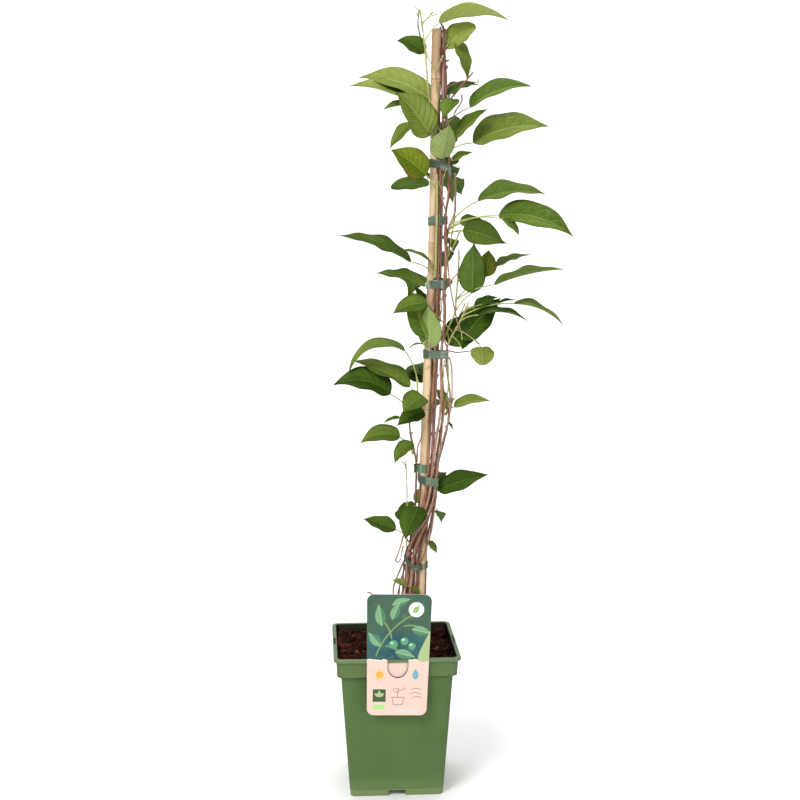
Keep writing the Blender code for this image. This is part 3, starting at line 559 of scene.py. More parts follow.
class Recipe(Board):
    """A tree of geometry nodes, with a named input for each thing that it asks for."""

    def __init__(self, name, asked):
        super().__init__(bpy.data.node_groups.new(name, "GeometryNodeTree"))
        sockets = self.tree.interface
        sockets.new_socket("Geometry", in_out="OUTPUT", socket_type="NodeSocketGeometry")
        for ask, kind in asked:
            sockets.new_socket(ask, in_out="INPUT", socket_type="NodeSocket" + kind)
        given = self.tree.nodes.new("NodeGroupInput")
        self.ask = {ask: Wire(self, given.outputs[ask]) for ask, _ in asked}

    def random(self, low, high, seed):
        """A random number or vector for each thing that is strewn."""
        values = {"Seed": self.ask["Seed"] + seed}
        if isinstance(low, tuple):
            values.update({0: low, 1: high})
            return self.node("FunctionNodeRandomValue", {"data_type": "FLOAT_VECTOR"}, values)
        values.update({2: low, 3: high})
        return self.node("FunctionNodeRandomValue", {"data_type": "FLOAT"}, values, 1)

    def attribute(self, name):
        return self.node("GeometryNodeInputNamedAttribute", {"data_type": "FLOAT"}, {"Name": name})

    def pushed(self, geometry, push):
        """The geometry with its points moved and its faces smooth."""
        moved = self.node("GeometryNodeSetPosition", None, {"Geometry": geometry, "Offset": push})
        values = {"Geometry": moved, "Shade Smooth": True}
        return self.node("GeometryNodeSetShadeSmooth", None, values)


def chip_recipe(finishes):
    """Geometry nodes that strew chips over a bed, each sized, turned and bent in its own way."""
    board = Recipe("strewn bark", (
        ("Bed", "Geometry"), ("Chips per square metre", "Float"), ("Seed", "Int"),
        ("Chip size", "Vector"), ("Smallest", "Float"), ("Largest", "Float"),
    ))
    ask = board.ask
    spots = board.node(
        "GeometryNodeDistributePointsOnFaces", {"distribute_method": "RANDOM"},
        {"Mesh": ask["Bed"], "Density": ask["Chips per square metre"], "Seed": ask["Seed"]},
    )
    chip = board.node("GeometryNodeMeshCube", None, {
        "Size": ask["Chip size"], "Vertices X": 5, "Vertices Y": 4, "Vertices Z": 3,
    })
    lie = board.random((-CHIP_TILT, -CHIP_TILT, 0.0), (CHIP_TILT, CHIP_TILT, 2 * pi), 1)
    wide = board.random(ask["Smallest"], ask["Largest"], 2)
    squat = board.random(*CHIP_SHAPES, 3)
    size = board.node("ShaderNodeVectorMath", {"operation": "SCALE"}, {0: squat, "Scale": wide})
    turn = board.node("FunctionNodeEulerToRotation", None, {0: lie})
    strewn = board.node("GeometryNodeInstanceOnPoints", None, {
        "Points": spots, "Instance": chip, "Rotation": turn, "Scale": size,
    })
    strewn = board.node(
        "GeometryNodeStoreNamedAttribute", {"data_type": "FLOAT", "domain": "INSTANCE"},
        {"Geometry": strewn, "Name": "tone", "Value": board.random(0.0, 1.0, 4)},
    )
    solid = board.node("GeometryNodeRealizeInstances", None, {0: strewn})
    where = board.node("GeometryNodeInputPosition")
    wave = board.node(
        "ShaderNodeTexNoise", None, {"Vector": where, "Scale": 150.0, "Detail": 2.5}, "Color"
    )
    push = board.node(
        "ShaderNodeVectorMath", {"operation": "MULTIPLY_ADD"}, {0: wave, 1: CHIP_WARP, 2: CHIP_SHIFT}
    )
    solid = board.pushed(solid, push)
    read = board.attribute("tone")
    for (*_, share), finish in zip(CHIP_TONES, finishes):
        picked = board.node("FunctionNodeCompare", {"operation": "GREATER_EQUAL"}, {0: read, 1: share})
        solid = board.node("GeometryNodeSetMaterial", None, {
            "Geometry": solid, "Selection": picked, "Material": finish,
        })
    board.node("NodeGroupOutput", None, {"Geometry": solid})
    return board.tree


def run_recipe(item, tree, values):
    """Runs a tree of geometry nodes on an object with these inputs, and keeps the plain mesh."""
    step = item.modifiers.new(tree.name, "NODES")
    step.node_group = tree
    for socket in tree.interface.items_tree:
        if socket.item_type == "SOCKET" and socket.in_out == "INPUT" and socket.name in values:
            step[socket.identifier] = values[socket.name]
    applied(item)


def keep_inside(chips):
    """Presses whatever would stand out through the wall back against its inner side."""
    corner = CORNER - WALL - GAP
    for vertex in chips.data.vertices:
        spot = vertex.co / MM
        share = (spot.z - COLLAR_FOOT) / (RIM_TOP - COLLAR_FOOT)
        flat = between(COLLAR_FOOT_HALF, COLLAR_TOP_HALF, share) - WALL - GAP - corner
        near = Vector((min(max(spot.x, -flat), flat), min(max(spot.y, -flat), flat)))
        off = spot.xy - near
        if off.length > corner:
            off.length = corner
            vertex.co.xy = (near + off) * MM


def make_potting_mix():
    ledge = COLLAR_FOOT + WALL
    low = (
        (body_half(FLOOR_TOP), FLOOR_TOP + GAP), (BODY_TOP_HALF, ledge),
        (COLLAR_FOOT_HALF, ledge + GAP),
    )
    rings = [pot_ring(half, z, WALL + GAP) for half, z in low]
    shares = [k / SOIL_RINGS for k in range(SOIL_RINGS)]
    rings += [soil_ring(share) for share in shares]
    soil = new_piece("potting_mix_top", *loft(rings))
    soil.data.materials.append(soil_finish())
    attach(soil, "root")
    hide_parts("potting_mix")
    inner = [soil_ring(share) for share in shares if share * RIM_HALF >= BED_INSET]
    chips = new_piece("bark_chips", *loft(inner, start=False), smooth=False)
    run_recipe(chips, chip_recipe([chip_finish(*tone[:3]) for tone in CHIP_TONES]), {
        "Chips per square metre": CHIPS_PER_SQUARE_METRE, "Seed": CHIP_SEED,
        "Chip size": [side * MM for side in CHIP_SIZE],
        "Smallest": CHIP_SMALLEST, "Largest": CHIP_LARGEST,
    })
    keep_inside(chips)
    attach(chips, "root")


make_potting_mix()


# ---- bamboo cane ----
# A tapering culm of bamboo that leans right and bows a little, pushed to the pot's floor.
# It has a double ridge and a pale bloom at each node, and a rough, hollow sawn top.

CANE_TOP, CANE_FOOT = 905.0, 12.0
CANE_RADIUS_FOOT, CANE_RADIUS_TOP = 6.4, 5.9
CANE_X_AT_SOIL, CANE_Y, CANE_LEAN, CANE_BOW = 31.4, 12.0, 0.0252, 2.8
CANE_NODES = (849.0, 659.0, 461.0, 286.0)
CANE_BOW_START, CANE_FLAT, CANE_CHIP = 400, 0.12, 0.9
CANE_SIDES, CANE_STEP, CANE_HOLLOW, CANE_HOLLOW_DEPTH = 36, 6.0, 3.3, 14.0
NODE_SWELLS = (           # height beside the node, how far it stands out, its reach
    (0.0, 0.55, 1.2), (-3.2, 0.3, 0.9), (-1.7, -0.22, 0.8),
)
NODE_GROOVE = 1.7         # how far under a node its dark line runs
WEATHERED, SAWN = (0.80, 0.88), (0.9035, 0.9048)     # heights of these tones, in metres


def ripple(angle, reach, level):
    """Smooth noise that closes on itself round a ring."""
    return noise.noise(Vector((cos(angle) * reach, sin(angle) * reach, level)))


def cane_axis(height):
    """The culm's middle: its own lean, and a bow in the upper half."""
    bend = (height - CANE_BOW_START) / (CANE_TOP - CANE_BOW_START)
    bend = sin(pi * min(max(bend, 0), 1)) ** 2
    return (CANE_X_AT_SOIL + CANE_LEAN * (height - SOIL_TOP) + CANE_BOW * bend, CANE_Y)


def cane_radius(height):
    return between(CANE_RADIUS_FOOT, CANE_RADIUS_TOP, height / CANE_TOP)


def cane_skin(height, angle):
    """The culm's own radius, with its node ridges and long shallow flats."""
    swell = 0.0
    for node in CANE_NODES:
        for off, out, reach in NODE_SWELLS:
            swell += out * exp(-((height - node - off) / reach) ** 2)
    flat = CANE_FLAT * ripple(angle, 1.4, height / 90)
    return cane_radius(height) - 0.1 + swell + flat


def cane_finish():
    cane = Finish("bamboo culm", 0.5, specular_ior_level=0.25)
    side = cane.axis("X")
    height = cane.axis("Z")
    streaks = cane.grain((420, 420, 5), 4, 0.6)
    wide = cane.grain((90, 90, 9), 3, 0.5)
    cane.ground(streaks.within(0.25, 0.75), (218, 188, 148), (234, 208, 172))
    cane.coat(wide.within(0.42, 0.72) * 0.75, (188, 150, 108))
    fine = cane.grain((1500, 1500, 16), 5, 0.65).within(0.56, 0.74)
    cane.coat(fine * 0.5, (160, 120, 82))
    bloom = cane.grain((70, 70, 14), 3, 0.5).within(0.55, 0.75)
    cane.coat(bloom * 0.4, (222, 190, 168))
    spots = cane.cloud(70, 5, 0.65).within(0.58, 0.72)
    cane.coat(spots * 0.55, (146, 104, 72))
    pocks = cane.cells(1.0, place=cane.stretched((480, 480, 190))).within(0.16, 0.06)
    cane.coat(pocks * cane.cloud(38, 3).within(0.5, 0.62) * 0.7, (96, 62, 42))
    cane.coat(height.within(*WEATHERED) * 0.8, (156, 124, 94))
    lean = side - (height - SOIL_TOP * MM) * CANE_LEAN - (CANE_X_AT_SOIL + 1.8) * MM
    # a brown stain down the cane's right side, away from the key light, which is also painted shade
    stain_and_shade = lean.within(0.0004, 0.0034) * cane.grain((60, 60, 16), 4, 0.6).within(0.34, 0.56)
    cane.coat(stain_and_shade * 0.9, (104, 66, 44))
    for node in CANE_NODES:
        off = (height - node * MM) / MM
        cane.coat(off.within(9.0, 1.0) * off.within(-7.0, 0.0) * 0.35, (226, 196, 164))
        line = (off + NODE_GROOVE).size().within(1.3, 0.3)
        cane.coat(line * 0.4, (138, 98, 68))
        below = (off + 9.0).size().within(8.0, 1.0)
        cane.coat(below * wide.within(0.35, 0.6) * 0.5, (176, 138, 100))
    cane.coat(height.within(*SAWN) * 0.6, (150, 112, 78))
    grooves = cane.relief(streaks + fine * -0.5, 0.22, 0.6)
    return cane.feed(roughness=0.4 + wide * 0.25, normal=grooves)


def pith_finish():
    pith = Finish("cut bamboo", 0.8)
    fibres = pith.cells(1500)
    pith.ground(fibres.within(0.2, 0.6), (150, 112, 76), (206, 168, 122))
    return pith.feed(normal=pith.relief(fibres, 0.4, 0.8))


def make_cane():
    foot, steps = CANE_FOOT + 0.2, int((CANE_TOP - CANE_FOOT) / CANE_STEP)
    heights = {CANE_TOP, *(foot + k * CANE_STEP for k in range(steps))}
    for node in CANE_NODES:
        heights.update(node + 0.5 * k for k in range(-12, 8))
    rings, turns = [], [2 * pi * s / CANE_SIDES for s in range(CANE_SIDES)]
    for z in sorted(heights):
        x, y = cane_axis(z)
        ring = []
        for angle in turns:
            radius = cane_skin(z, angle)
            drop = CANE_CHIP * max(0, ripple(angle, 2, 9)) if z == CANE_TOP else 0
            ring.append((x + radius * cos(angle), y + radius * sin(angle), z - drop))
        rings.append(ring)
    outside_count = len(rings) - 1
    x, y = cane_axis(CANE_TOP)
    for depth, wider in ((0.3, 0.3), (1.2, 0), (CANE_HOLLOW_DEPTH, 0)):
        reach = [(CANE_HOLLOW + wider) * (1 + CANE_FLAT * sin(3 * a)) for a in turns]
        rings.append([
            (x + r * cos(a), y + r * sin(a), CANE_TOP - depth) for r, a in zip(reach, turns)
        ])
    points, faces = loft(rings)
    choice = [int(k >= outside_count * CANE_SIDES) for k in range(len(faces))]
    choice[-2] = 0        # the foot's own face
    cane = new_piece("bamboo_cane", points, faces, [cane_finish(), pith_finish()], choice)
    cane.data.set_sharp_from_angle(angle=radians(50))
    turned(cane)
    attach(cane, "root")
    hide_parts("cane")


def turned(item):
    """Turns a piece of the plant to the way that it stands in the pot."""
    item.data.transform(Matrix.Rotation(radians(PLANT_TURN), 4, "Z"))


make_cane()


# ---- stems ----
# Seven young woody stems that rise from one foot beside the cane and climb it in a bundle.
# Their thin bark, from lilac to red brown, is ridged along its length, and each joint has
# a swelling and a hooked bud.

# At a height: the bundle's bearing, the side stem's bearing, how far the first layer of
# stems is from the cane's middle, how far apart the layers are, and how far they bow out
Course = namedtuple("Course", "height bearing side_bearing first step bow")
COURSE = (
    Course(SOIL_TOP, 200, 140, 17.0, 7.5, 2),
    Course(267, 207, 145, 10.6, 5.4, 2),
    Course(373, 318, 172, 10.0, 4.0, 0),
    Course(387, 328, 176, 10.2, 4.0, 10),
    Course(526, 352, 182, 9.6, 5.6, 4),
    Course(609, 350, 182, 9.3, 6.2, 3),
    Course(684, 346, 182, 9.1, 4.6, 3),
    Course(751, 350, 182, 9.1, 7.4, 2),
    Course(910, 340, 182, 9.1, 6.0, 0),
)
FIRST_LAYER = 9.1         # the distance that bearings within the bundle are given for
SIDE_TIE = 387            # the tie that holds only the side stem to the cane
UNDER_SIDE_TIE = 373      # the tie under it, which leaves the side stem out
# A stem's layer and its bearing in the bundle, its width at foot and tip, and its height
Stem = namedtuple("Stem", "name layer bearing foot tip top")
STEMS = (
    Stem("stem_main", 1, 0, 5.0, 3.2, 866),
    Stem("stem_second", 2, 15, 4.0, 2.4, 790),
    Stem("stem_third", 2, -15, 3.8, 2.2, 660),
    Stem("stem_fourth", 3, 0, 3.4, 2.2, 533.5),
    Stem("stem_front", 1, -36, 3.4, 2.0, 785),
    Stem("stem_back", 1, 36, 3.4, 2.0, 775),
    Stem("stem_side", 1, 0, 3.4, 2.2, 444),
)
BARK_TONES = (            # for each stem: dark colour, light colour, colour of the blotches
    ("lilac brown bark", (132, 92, 82), (186, 154, 144), (160, 118, 112)),
    ("tan bark", (134, 92, 68), (190, 152, 122), (160, 118, 96)),
    ("pink brown bark", (138, 98, 80), (192, 158, 138), (168, 130, 116)),
    ("grey brown bark", (122, 90, 74), (180, 152, 136), (150, 116, 104)),
    ("warm brown bark", (124, 82, 58), (180, 138, 104), (146, 104, 78)),
    ("shaded bark", (84, 54, 42), (136, 100, 80), (116, 82, 68)),
    ("red brown bark", (104, 62, 46), (158, 112, 88), (124, 78, 60)),
)
SIDE_STEM_REACH = 10.0    # how far its tip stands off past the tie
ROOT_FLARE, ROOT_FLARE_HEIGHT = 0.35, 9.0
STEM_STEP, JOINT_APART, JOINT_SWELL, STEM_WANDER = 1.6, 34.0, 0.34, 0.35
JOINT_FIRST, JOINT_SPREAD, JOINT_REACH, TIP_CLEAR = (0.3, 0.9), (0.7, 1.3), 1.9, 6
BUD_LENGTH, BUD_RADIUS, BUD_HOOK = 2.6, 0.95, (0, 0.5, 1.5)
BARK_SIDES, BARK_RELIEF, BARK_SCALE, BARK_SEED = 14, 0.42, 420.0, 3
RIDGE_STRETCH = (1.0, 1.0, 0.16)


def course(height):
    """The bundle's values at a height, eased between the heights where it is held."""
    for low, high in zip(COURSE, COURSE[1:]):
        if height <= high.height:
            break
    share = (height - low.height) / (high.height - low.height)
    values = [between(a, b, smoothly(share)) for a, b in zip(low, high)]
    bow = low.bow * sin(pi * min(max(share, 0), 1)) ** 2
    return Course(height, values[1], values[2], values[3], values[4], bow)


def stem_polar(stem, height):
    """How far a stem's middle is from the cane's, and its bearing."""
    now = course(height)
    if stem.name == "stem_side":
        past = smoothly((height - SIDE_TIE) / (stem.top - SIDE_TIE))
        return now.first + SIDE_STEM_REACH * past, now.side_bearing
    out = now.first + (stem.layer - 1) * (now.step + now.bow / 2)
    spread = FIRST_LAYER / now.first if stem.layer == 1 else 1
    return out, now.bearing + stem.bearing * spread


def on_bearing(height, bearing, out):
    """The point at a height that lies out along a bearing from the cane's middle."""
    x, y = cane_axis(height)
    return Vector((x + out * cos(radians(bearing)), y + out * sin(radians(bearing)), height))


def stem_point(stem, height):
    out, bearing = stem_polar(stem, height)
    return on_bearing(height, bearing, out)


def stem_radius(stem, height):
    """A stem's taper from foot to tip, with the flare of its foot."""
    share = (height - SOIL_TOP) / (stem.top - SOIL_TOP)
    flare = 1 + ROOT_FLARE * exp(-(height - SOIL_TOP) / ROOT_FLARE_HEIGHT)
    return between(stem.foot, stem.tip, share) / 2 * flare


def bark_finish(name, dark, light, blotched):
    bark = Finish(name, 0.75)
    ridges = bark.grain((900, 900, 34), 5, 0.62)
    blotch = bark.cloud(48, 4, 0.55)
    bark.ground(ridges.within(0.34, 0.68), dark, light)
    bark.coat(blotch.within(0.46, 0.70) * 0.55, blotched)
    crack = bark.grain((1300, 1300, 75), 6, 0.7).within(0.56, 0.66)
    bark.coat(crack * 0.55, (84, 54, 44))
    pores = bark.cells(1.0, place=bark.stretched((620, 620, 210))).within(0.20, 0.10)
    bark.coat(pores * bark.cloud(150, 2).within(0.5, 0.6) * 0.6, (214, 190, 168))
    coat = bark.relief(ridges - crack * 0.6, 0.5, 0.8)
    return bark.feed(roughness=0.62 + ridges * 0.25, normal=coat)


def limb_recipe():
    """Geometry nodes that grow a closed, ridged limb along each line of points."""
    board = Recipe("limbs along lines", (
        ("Lines", "Geometry"), ("Sides", "Int"), ("Relief", "Float"),
        ("Relief scale", "Float"), ("Seed", "Float"), ("Finish", "Material"),
    ))
    ask = board.ask
    thick = board.attribute("thick")
    line = board.node("GeometryNodeMeshToCurve", None, {"Mesh": ask["Lines"]})
    ring = board.node(
        "GeometryNodeCurvePrimitiveCircle", None, {"Resolution": ask["Sides"], "Radius": 1.0}
    )
    limb = board.node("GeometryNodeCurveToMesh", None, {
        "Curve": line, "Profile Curve": ring, "Scale": thick, "Fill Caps": True,
    })
    where = board.node("GeometryNodeInputPosition")
    long = board.node("ShaderNodeVectorMath", {"operation": "MULTIPLY"}, {0: where, 1: RIDGE_STRETCH})
    wave = board.node("ShaderNodeTexNoise", {"noise_dimensions": "4D"}, {
        "Vector": long, "W": ask["Seed"], "Scale": ask["Relief scale"], "Detail": 3.0,
    })
    out = board.node("GeometryNodeInputNormal")
    deep = (wave - 0.55) * ask["Relief"] * (thick * 500.0).sum("MINIMUM", 1.0)
    push = board.node("ShaderNodeVectorMath", {"operation": "SCALE"}, {0: out, "Scale": deep})
    limb = board.node("GeometryNodeRealizeInstances", None, {0: board.pushed(limb, push)})
    limb = board.node("GeometryNodeSetMaterial", None, {"Geometry": limb, "Material": ask["Finish"]})
    board.node("NodeGroupOutput", None, {"Geometry": limb})
    return board.tree


def grow(name, lines, sides, relief, finish, seed=BARK_SEED):
    """A piece of limbs, each along a line of points with a radius at each of them."""
    points, edges, thick = [], [], []
    for path, radii in lines:
        first = len(points)
        points += [tuple(Vector(p) * MM) for p in path]
        edges += [(first + k, first + k + 1) for k in range(len(path) - 1)]
        thick += [radius * MM for radius in radii]
    mesh = bpy.data.meshes.new(name)
    mesh.from_pydata(points, edges, [])
    mesh.attributes.new("thick", "FLOAT", "POINT").data.foreach_set("value", thick)
    made = placed(name, mesh)
    run_recipe(made, LIMBS, {
        "Sides": sides, "Relief": relief * MM, "Relief scale": BARK_SCALE, "Seed": float(seed),
        "Finish": finish,
    })
    turned(made)
    return made


def stem_line(stem, number):
    """A stem's path and radii, with its joints, from a flat foot to its tip."""
    foot = SOIL_TOP + GAP
    count = int((stem.top - foot) / STEM_STEP)
    chance = random.Random(number)
    joint = foot + JOINT_APART * chance.uniform(*JOINT_FIRST)
    joints = []
    while joint < stem.top - TIP_CLEAR:
        joints.append(joint)
        joint += JOINT_APART * chance.uniform(*JOINT_SPREAD)
    path, radii = [], []
    for k in range(count + 1):
        z = between(foot, stem.top, k / count)
        loose = min(1, (stem.top - z) / 20, (z - foot) / 10)
        aside, back = [noise.noise(Vector((number * 7.3, row, z / 26))) for row in (0.4, 9.4)]
        path.append(stem_point(stem, z) + Vector((aside, back, 0)) * STEM_WANDER * loose)
        swell = sum(JOINT_SWELL * exp(-((z - j) / JOINT_REACH) ** 2) for j in joints)
        radii.append(stem_radius(stem, z) * (0.97 + swell))
    return path, radii, joints


def buds(stem, joints, number):
    """A short hooked bud at each joint, on sides that take turns."""
    found = []
    for k, joint in enumerate(joints):
        bearing = 200 + 115 * number + 180 * (k % 2)
        out, size = heading(bearing, 0), stem_radius(stem, joint)
        start = stem_point(stem, joint) + out * size * 0.5
        path = [start, start + out * size * 0.7, start + out * (size * 0.6 + BUD_LENGTH * 0.5)]
        path = [p + Vector((0, 0, rise)) for p, rise in zip(path, BUD_HOOK)]
        path.append(path[-1] + out * 0.4 + Vector((0, 0, BUD_LENGTH * 0.5)))
        found.append((path, [BUD_RADIUS * s for s in (1.0, 0.95, 0.7, 0.25)]))
    return found


def heading(bearing, rise):
    """The direction of a compass bearing that rises by an angle."""
    flat = cos(radians(rise))
    return Vector((flat * cos(radians(bearing)), flat * sin(radians(bearing)), sin(radians(rise))))


def make_stems():
    for number, (stem, tones) in enumerate(zip(STEMS, BARK_TONES)):
        path, radii, joints = stem_line(stem, number)
        lines = [(path, radii)] + buds(stem, joints, number)
        piece = grow(stem.name + "_bark", lines, BARK_SIDES, BARK_RELIEF, bark_finish(*tones), number)
        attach(piece, "root")
        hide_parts(stem.name)


LIMBS = limb_recipe()
make_stems()


# ---- ties ----
# Strips of dark green plastic tape drawn round the cane and the stems by hand, lapped over
# themselves, each with a short loose end. The glossy tape is creased where it bends and carries
# pale streaks of painted highlight, and a wire staple closes one of them.

TIE_WIDTH, TIE_THICK, TIE_SIDES, TIE_SLACK = 9.8, 0.45, 120, 0.4
TIE_RUN, ASLANT = 2.0, 1.09          # stems that lean are wider across, level with the tie
TIE_FLARE, TIE_WAVE = 0.35, 0.45     # how far its edges stand off, and how far they wander
TAIL_STEPS, TAIL_LAP, TAIL_THICK, TAIL_CURL, TAIL_LIFT = 8, 2.0, 0.35, 0.5, (0.25, 0.055)
# A tie slopes one way as far as its bend, and on from there in another way, where it also
# takes its second tone. A tail of negative length runs on round the bundle's right side
Tie = namedtuple(
    "Tie", "height slope bend onward tail_bearing tail_length tail_slope tones wide sag",
    defaults=(1.0, 0.0),
)
TIES = (
    Tie(751, -0.03, 3, -0.45, 305, -14, -0.2, "dark"), Tie(684, 0.1, 0, 0.05, 250, 8, 0.2, "mid"),
    Tie(609, 0.0, 0, 0.0, 320, 9, -0.15, "mid"), Tie(526, 0.0, 0, -0.04, 230, 7, 0.1, "mid"),
    Tie(387, 0.04, 0, 0.04, 190, 10, 0.1, "pale"), Tie(373, -0.1, 3.5, -0.1, 300, 8, 0.0, "dark pale"),
    Tie(267, -1.1, -9, 0.17, 250, 5, 0.0, "dark", 0.7, 2.5),
)
STAPLE_WIRE, STAPLE_APART, STAPLED = 0.55, 4.6, 4
STAPLE_LEGS = ((284, 304, -0.5), (284, 304, 0.5), (335, 343, -0.4), (335, 343, 0.4))


def bundle(height):
    """The cane and the stems at a height: middles from the cane's middle, and radii."""
    found = [(Vector((0, 0)), cane_radius(height))]
    middle = Vector(cane_axis(height))
    for stem in STEMS:
        if stem.top >= height:
            place = stem_point(stem, height)
            found.append((place.xy - middle, stem_radius(stem, height)))
    return found


def support(circles, bearing):
    """The furthest point of a set of circles along a bearing."""
    along = Vector((cos(bearing), sin(bearing)))
    middle, radius = max(circles, key=lambda c: c[0].dot(along) + c[1])
    return middle + along * radius


def tied(height):
    """What a tie goes round, over the whole of its width."""
    found = []
    for step in (-1, -0.5, 0, 0.5, 1):
        z = height + step * (TIE_WIDTH / 2 + TIE_RUN)
        shift = Vector(cane_axis(z)) - Vector(cane_axis(height))
        members = bundle(z)
        if height == SIDE_TIE:
            members = [members[0], members[-1]]
        elif height == UNDER_SIDE_TIE:
            members = members[:-1]
        found.append((members[0][0] + shift, members[0][1]))
        found += [(middle + shift, radius * ASLANT) for middle, radius in members[1:]]
    return found


def tape_finish(name, dark, light, shine):
    tape = Finish(name, 0.3, specular_ior_level=0.5, coat_weight=0.8, coat_roughness=0.14)
    stress = tape.cloud(60, 2, 0.4)
    # painted highlight: pale vertical streaks of the shine colour stand in for the light's reflection on
    # the tape
    crease_and_highlight = tape.grain((130, 130, 12), 1, 0.4).within(0.56, 0.70)
    tape.ground(stress.within(0.35, 0.7), dark, light)
    tape.coat(crease_and_highlight * 0.7, shine)
    dull = tape.cloud(500, 3).within(0.4, 0.7)
    return tape.feed(
        roughness=0.24 + dull * 0.2, normal=tape.relief(stress, 0.6, 0.25)
    )


def tie_rise(tie, across):
    """How far a tie rises at a distance to the right of the cane's middle."""
    off = across - tie.bend
    return off * (tie.onward if off > 0 else tie.slope) - tie.sag


def tie_ring(members, grow_by, side, tie, seed):
    """One ring of the band: 1 is its upper edge, -1 its lower edge, 0 its middle line."""
    x, y = cane_axis(tie.height)
    grown = [(middle, radius + grow_by) for middle, radius in members]
    ring = []
    for k in range(TIE_SIDES):
        angle = 2 * pi * k / TIE_SIDES
        edge = support(grown, angle)
        crease_and_highlight = ripple(angle, 2.2, seed + side * 0.25)
        flare = TIE_FLARE * abs(side) ** 3 * (0.5 + crease_and_highlight)
        edge += Vector((cos(angle), sin(angle))) * flare
        wave = TIE_WAVE * ripple(angle, 1.5, seed + 3.7)
        z = tie.height + side * TIE_WIDTH * tie.wide / 2 + tie_rise(tie, edge.x) + wave
        ring.append((x + edge.x, y + edge.y, z))
    return ring


def add_part(points, faces, more_points, more_faces):
    """Adds one mesh to the lists of another."""
    faces += [tuple(k + len(points) for k in face) for face in more_faces]
    points += more_points


def tail_strip(tie, members):
    """The loose end: a thin strip that leaves the band along its own run and curls off it."""
    x, y = cane_axis(tie.height)
    angle = radians(tie.tail_bearing)
    start = support([(m, r + TIE_SLACK + TIE_THICK + 0.1) for m, r in members], angle)
    out = Vector((cos(angle), sin(angle)))
    run = Vector((-sin(angle), cos(angle)))
    if run.y > 0 and tie.tail_length > 0:
        run = -run
    sections = []
    for k in range(TAIL_STEPS + 1):
        along = abs(tie.tail_length) * (k / TAIL_STEPS)
        lift = TAIL_LIFT[0] + TAIL_LIFT[1] * along ** 1.5
        middle = Vector((x, y)) + start + run * (along - TAIL_LAP) + out * lift
        z = tie.height + tie_rise(tie, middle.x - x) + tie.tail_slope * along
        half = TIE_WIDTH * tie.wide / 2 * (0.98 - 0.05 * k / TAIL_STEPS)
        curl = out * (TAIL_CURL * sin(pi * k / TAIL_STEPS))
        sections.append([
            (middle.x - curl.x * s, middle.y - curl.y * s, z + half * t + 0.12 * along * t * s)
            for t, s in ((-1, 1), (-0.4, -0.4), (0.4, -0.4), (1, 1))
        ])
    thick = out * TAIL_THICK
    rings = [
        list(row) + [(p[0] - thick.x, p[1] - thick.y, p[2]) for p in reversed(row)] for row in sections
    ]
    return loft(rings)


def make_ties():
    # each tape: dark colour, light colour, and the colour of its painted highlight
    tapes = {
        "dark": tape_finish("dark green tape", (54, 72, 54), (68, 86, 68), (150, 164, 150)),
        "mid": tape_finish("green tape", (80, 98, 80), (98, 114, 96), (182, 190, 178)),
        "pale": tape_finish("pale green tape", (88, 112, 84), (104, 126, 100), (146, 162, 140)),
    }
    wire = Finish("staple wire", 0.35, metallic=1.0)
    wire.ground(wire.cloud(900, 3), (170, 172, 176), (222, 224, 228))
    for number, tie in enumerate(TIES, 1):
        members = tied(tie.height)
        inner, outer = TIE_SLACK, TIE_SLACK + TIE_THICK
        section = (
            (inner, -0.97), (outer - 0.12, -1.0), (outer, -0.94), (outer, -0.5), (outer, 0.0),
            (outer, 0.5), (outer, 0.94), (outer - 0.12, 1.0), (inner, 0.97), (inner, 0.0),
        )
        rings = [tie_ring(members, grow_by, side, tie, number) for grow_by, side in section]
        points, faces = loft(rings + [rings[0]], start=False, end=False)
        faces = [tuple(k % (len(rings) * TIE_SIDES) for k in face) for face in faces]
        points = points[:len(rings) * TIE_SIDES]
        add_part(points, faces, *tail_strip(tie, members))
        split = cane_axis(tie.height)[0] + tie.bend
        first = [sum(points[k][0] for k in face) / len(face) < split for face in faces]
        tones = tie.tones.split()
        choice = [0 if here else len(tones) - 1 for here in first]
        band = new_piece(f"tie_{number}_tape", points, faces, [tapes[tone] for tone in tones], choice)
        face_out(band)
        band.data.set_sharp_from_angle(angle=radians(50))
        turned(band)
        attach(band, "root")
        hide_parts(f"tie_{number}")
    tie, points, faces = TIES[STAPLED - 1], [], []
    members = [(m, r + TIE_SLACK + TIE_THICK + STAPLE_WIRE * 0.7) for m, r in tied(tie.height)]
    x, y = cane_axis(tie.height)
    for start, end, rise in STAPLE_LEGS:
        path = []
        for k in range(11):
            edge = support(members, radians(between(start, end, k / 10)))
            out = edge.normalized() * (1.2 if k in (0, 10) else 0.0)
            path.append((x + edge.x - out.x, y + edge.y - out.y, tie.height + STAPLE_APART * rise))
        add_part(points, faces, *loft(tube(path, (STAPLE_WIRE,) * len(path), 8)))
    staple = new_piece(f"tie_{STAPLED}_staple", points, faces, [wire.feed()])
    turned(staple)
    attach(staple, "root")


make_ties()


# ---- plant label ----
# A stiff printed card hung on the front of the lip: a tongue cut out of it goes down the
# slot behind the bar. Its upper part is a dusky leaf print, its lower part a pale pink
# panel with small line drawings, and nothing is written on it.

LABEL_TOP, LABEL_FOOT = 254.0, 108.0
LABEL_TOP_WIDTH, LABEL_FOOT_WIDTH, LABEL_CORNER = 76.0, 70.0, 8.0
LABEL_THICK, LABEL_TILT, CORNER_CUTS = 0.8, 1.45, 10
TONGUE_WIDTH, TONGUE_LENGTH, TONGUE_CUT = 24.0, 23.0, 0.35
TONGUE_ROUND, ARC_STEPS, LABEL_LIFT = 1.15, 20, 0.4
PANEL_TOP = 175.2         # where the pink panel ends and the dusky print begins
SHEET_SIZE = 150.0        # of the square that the print is laid out on
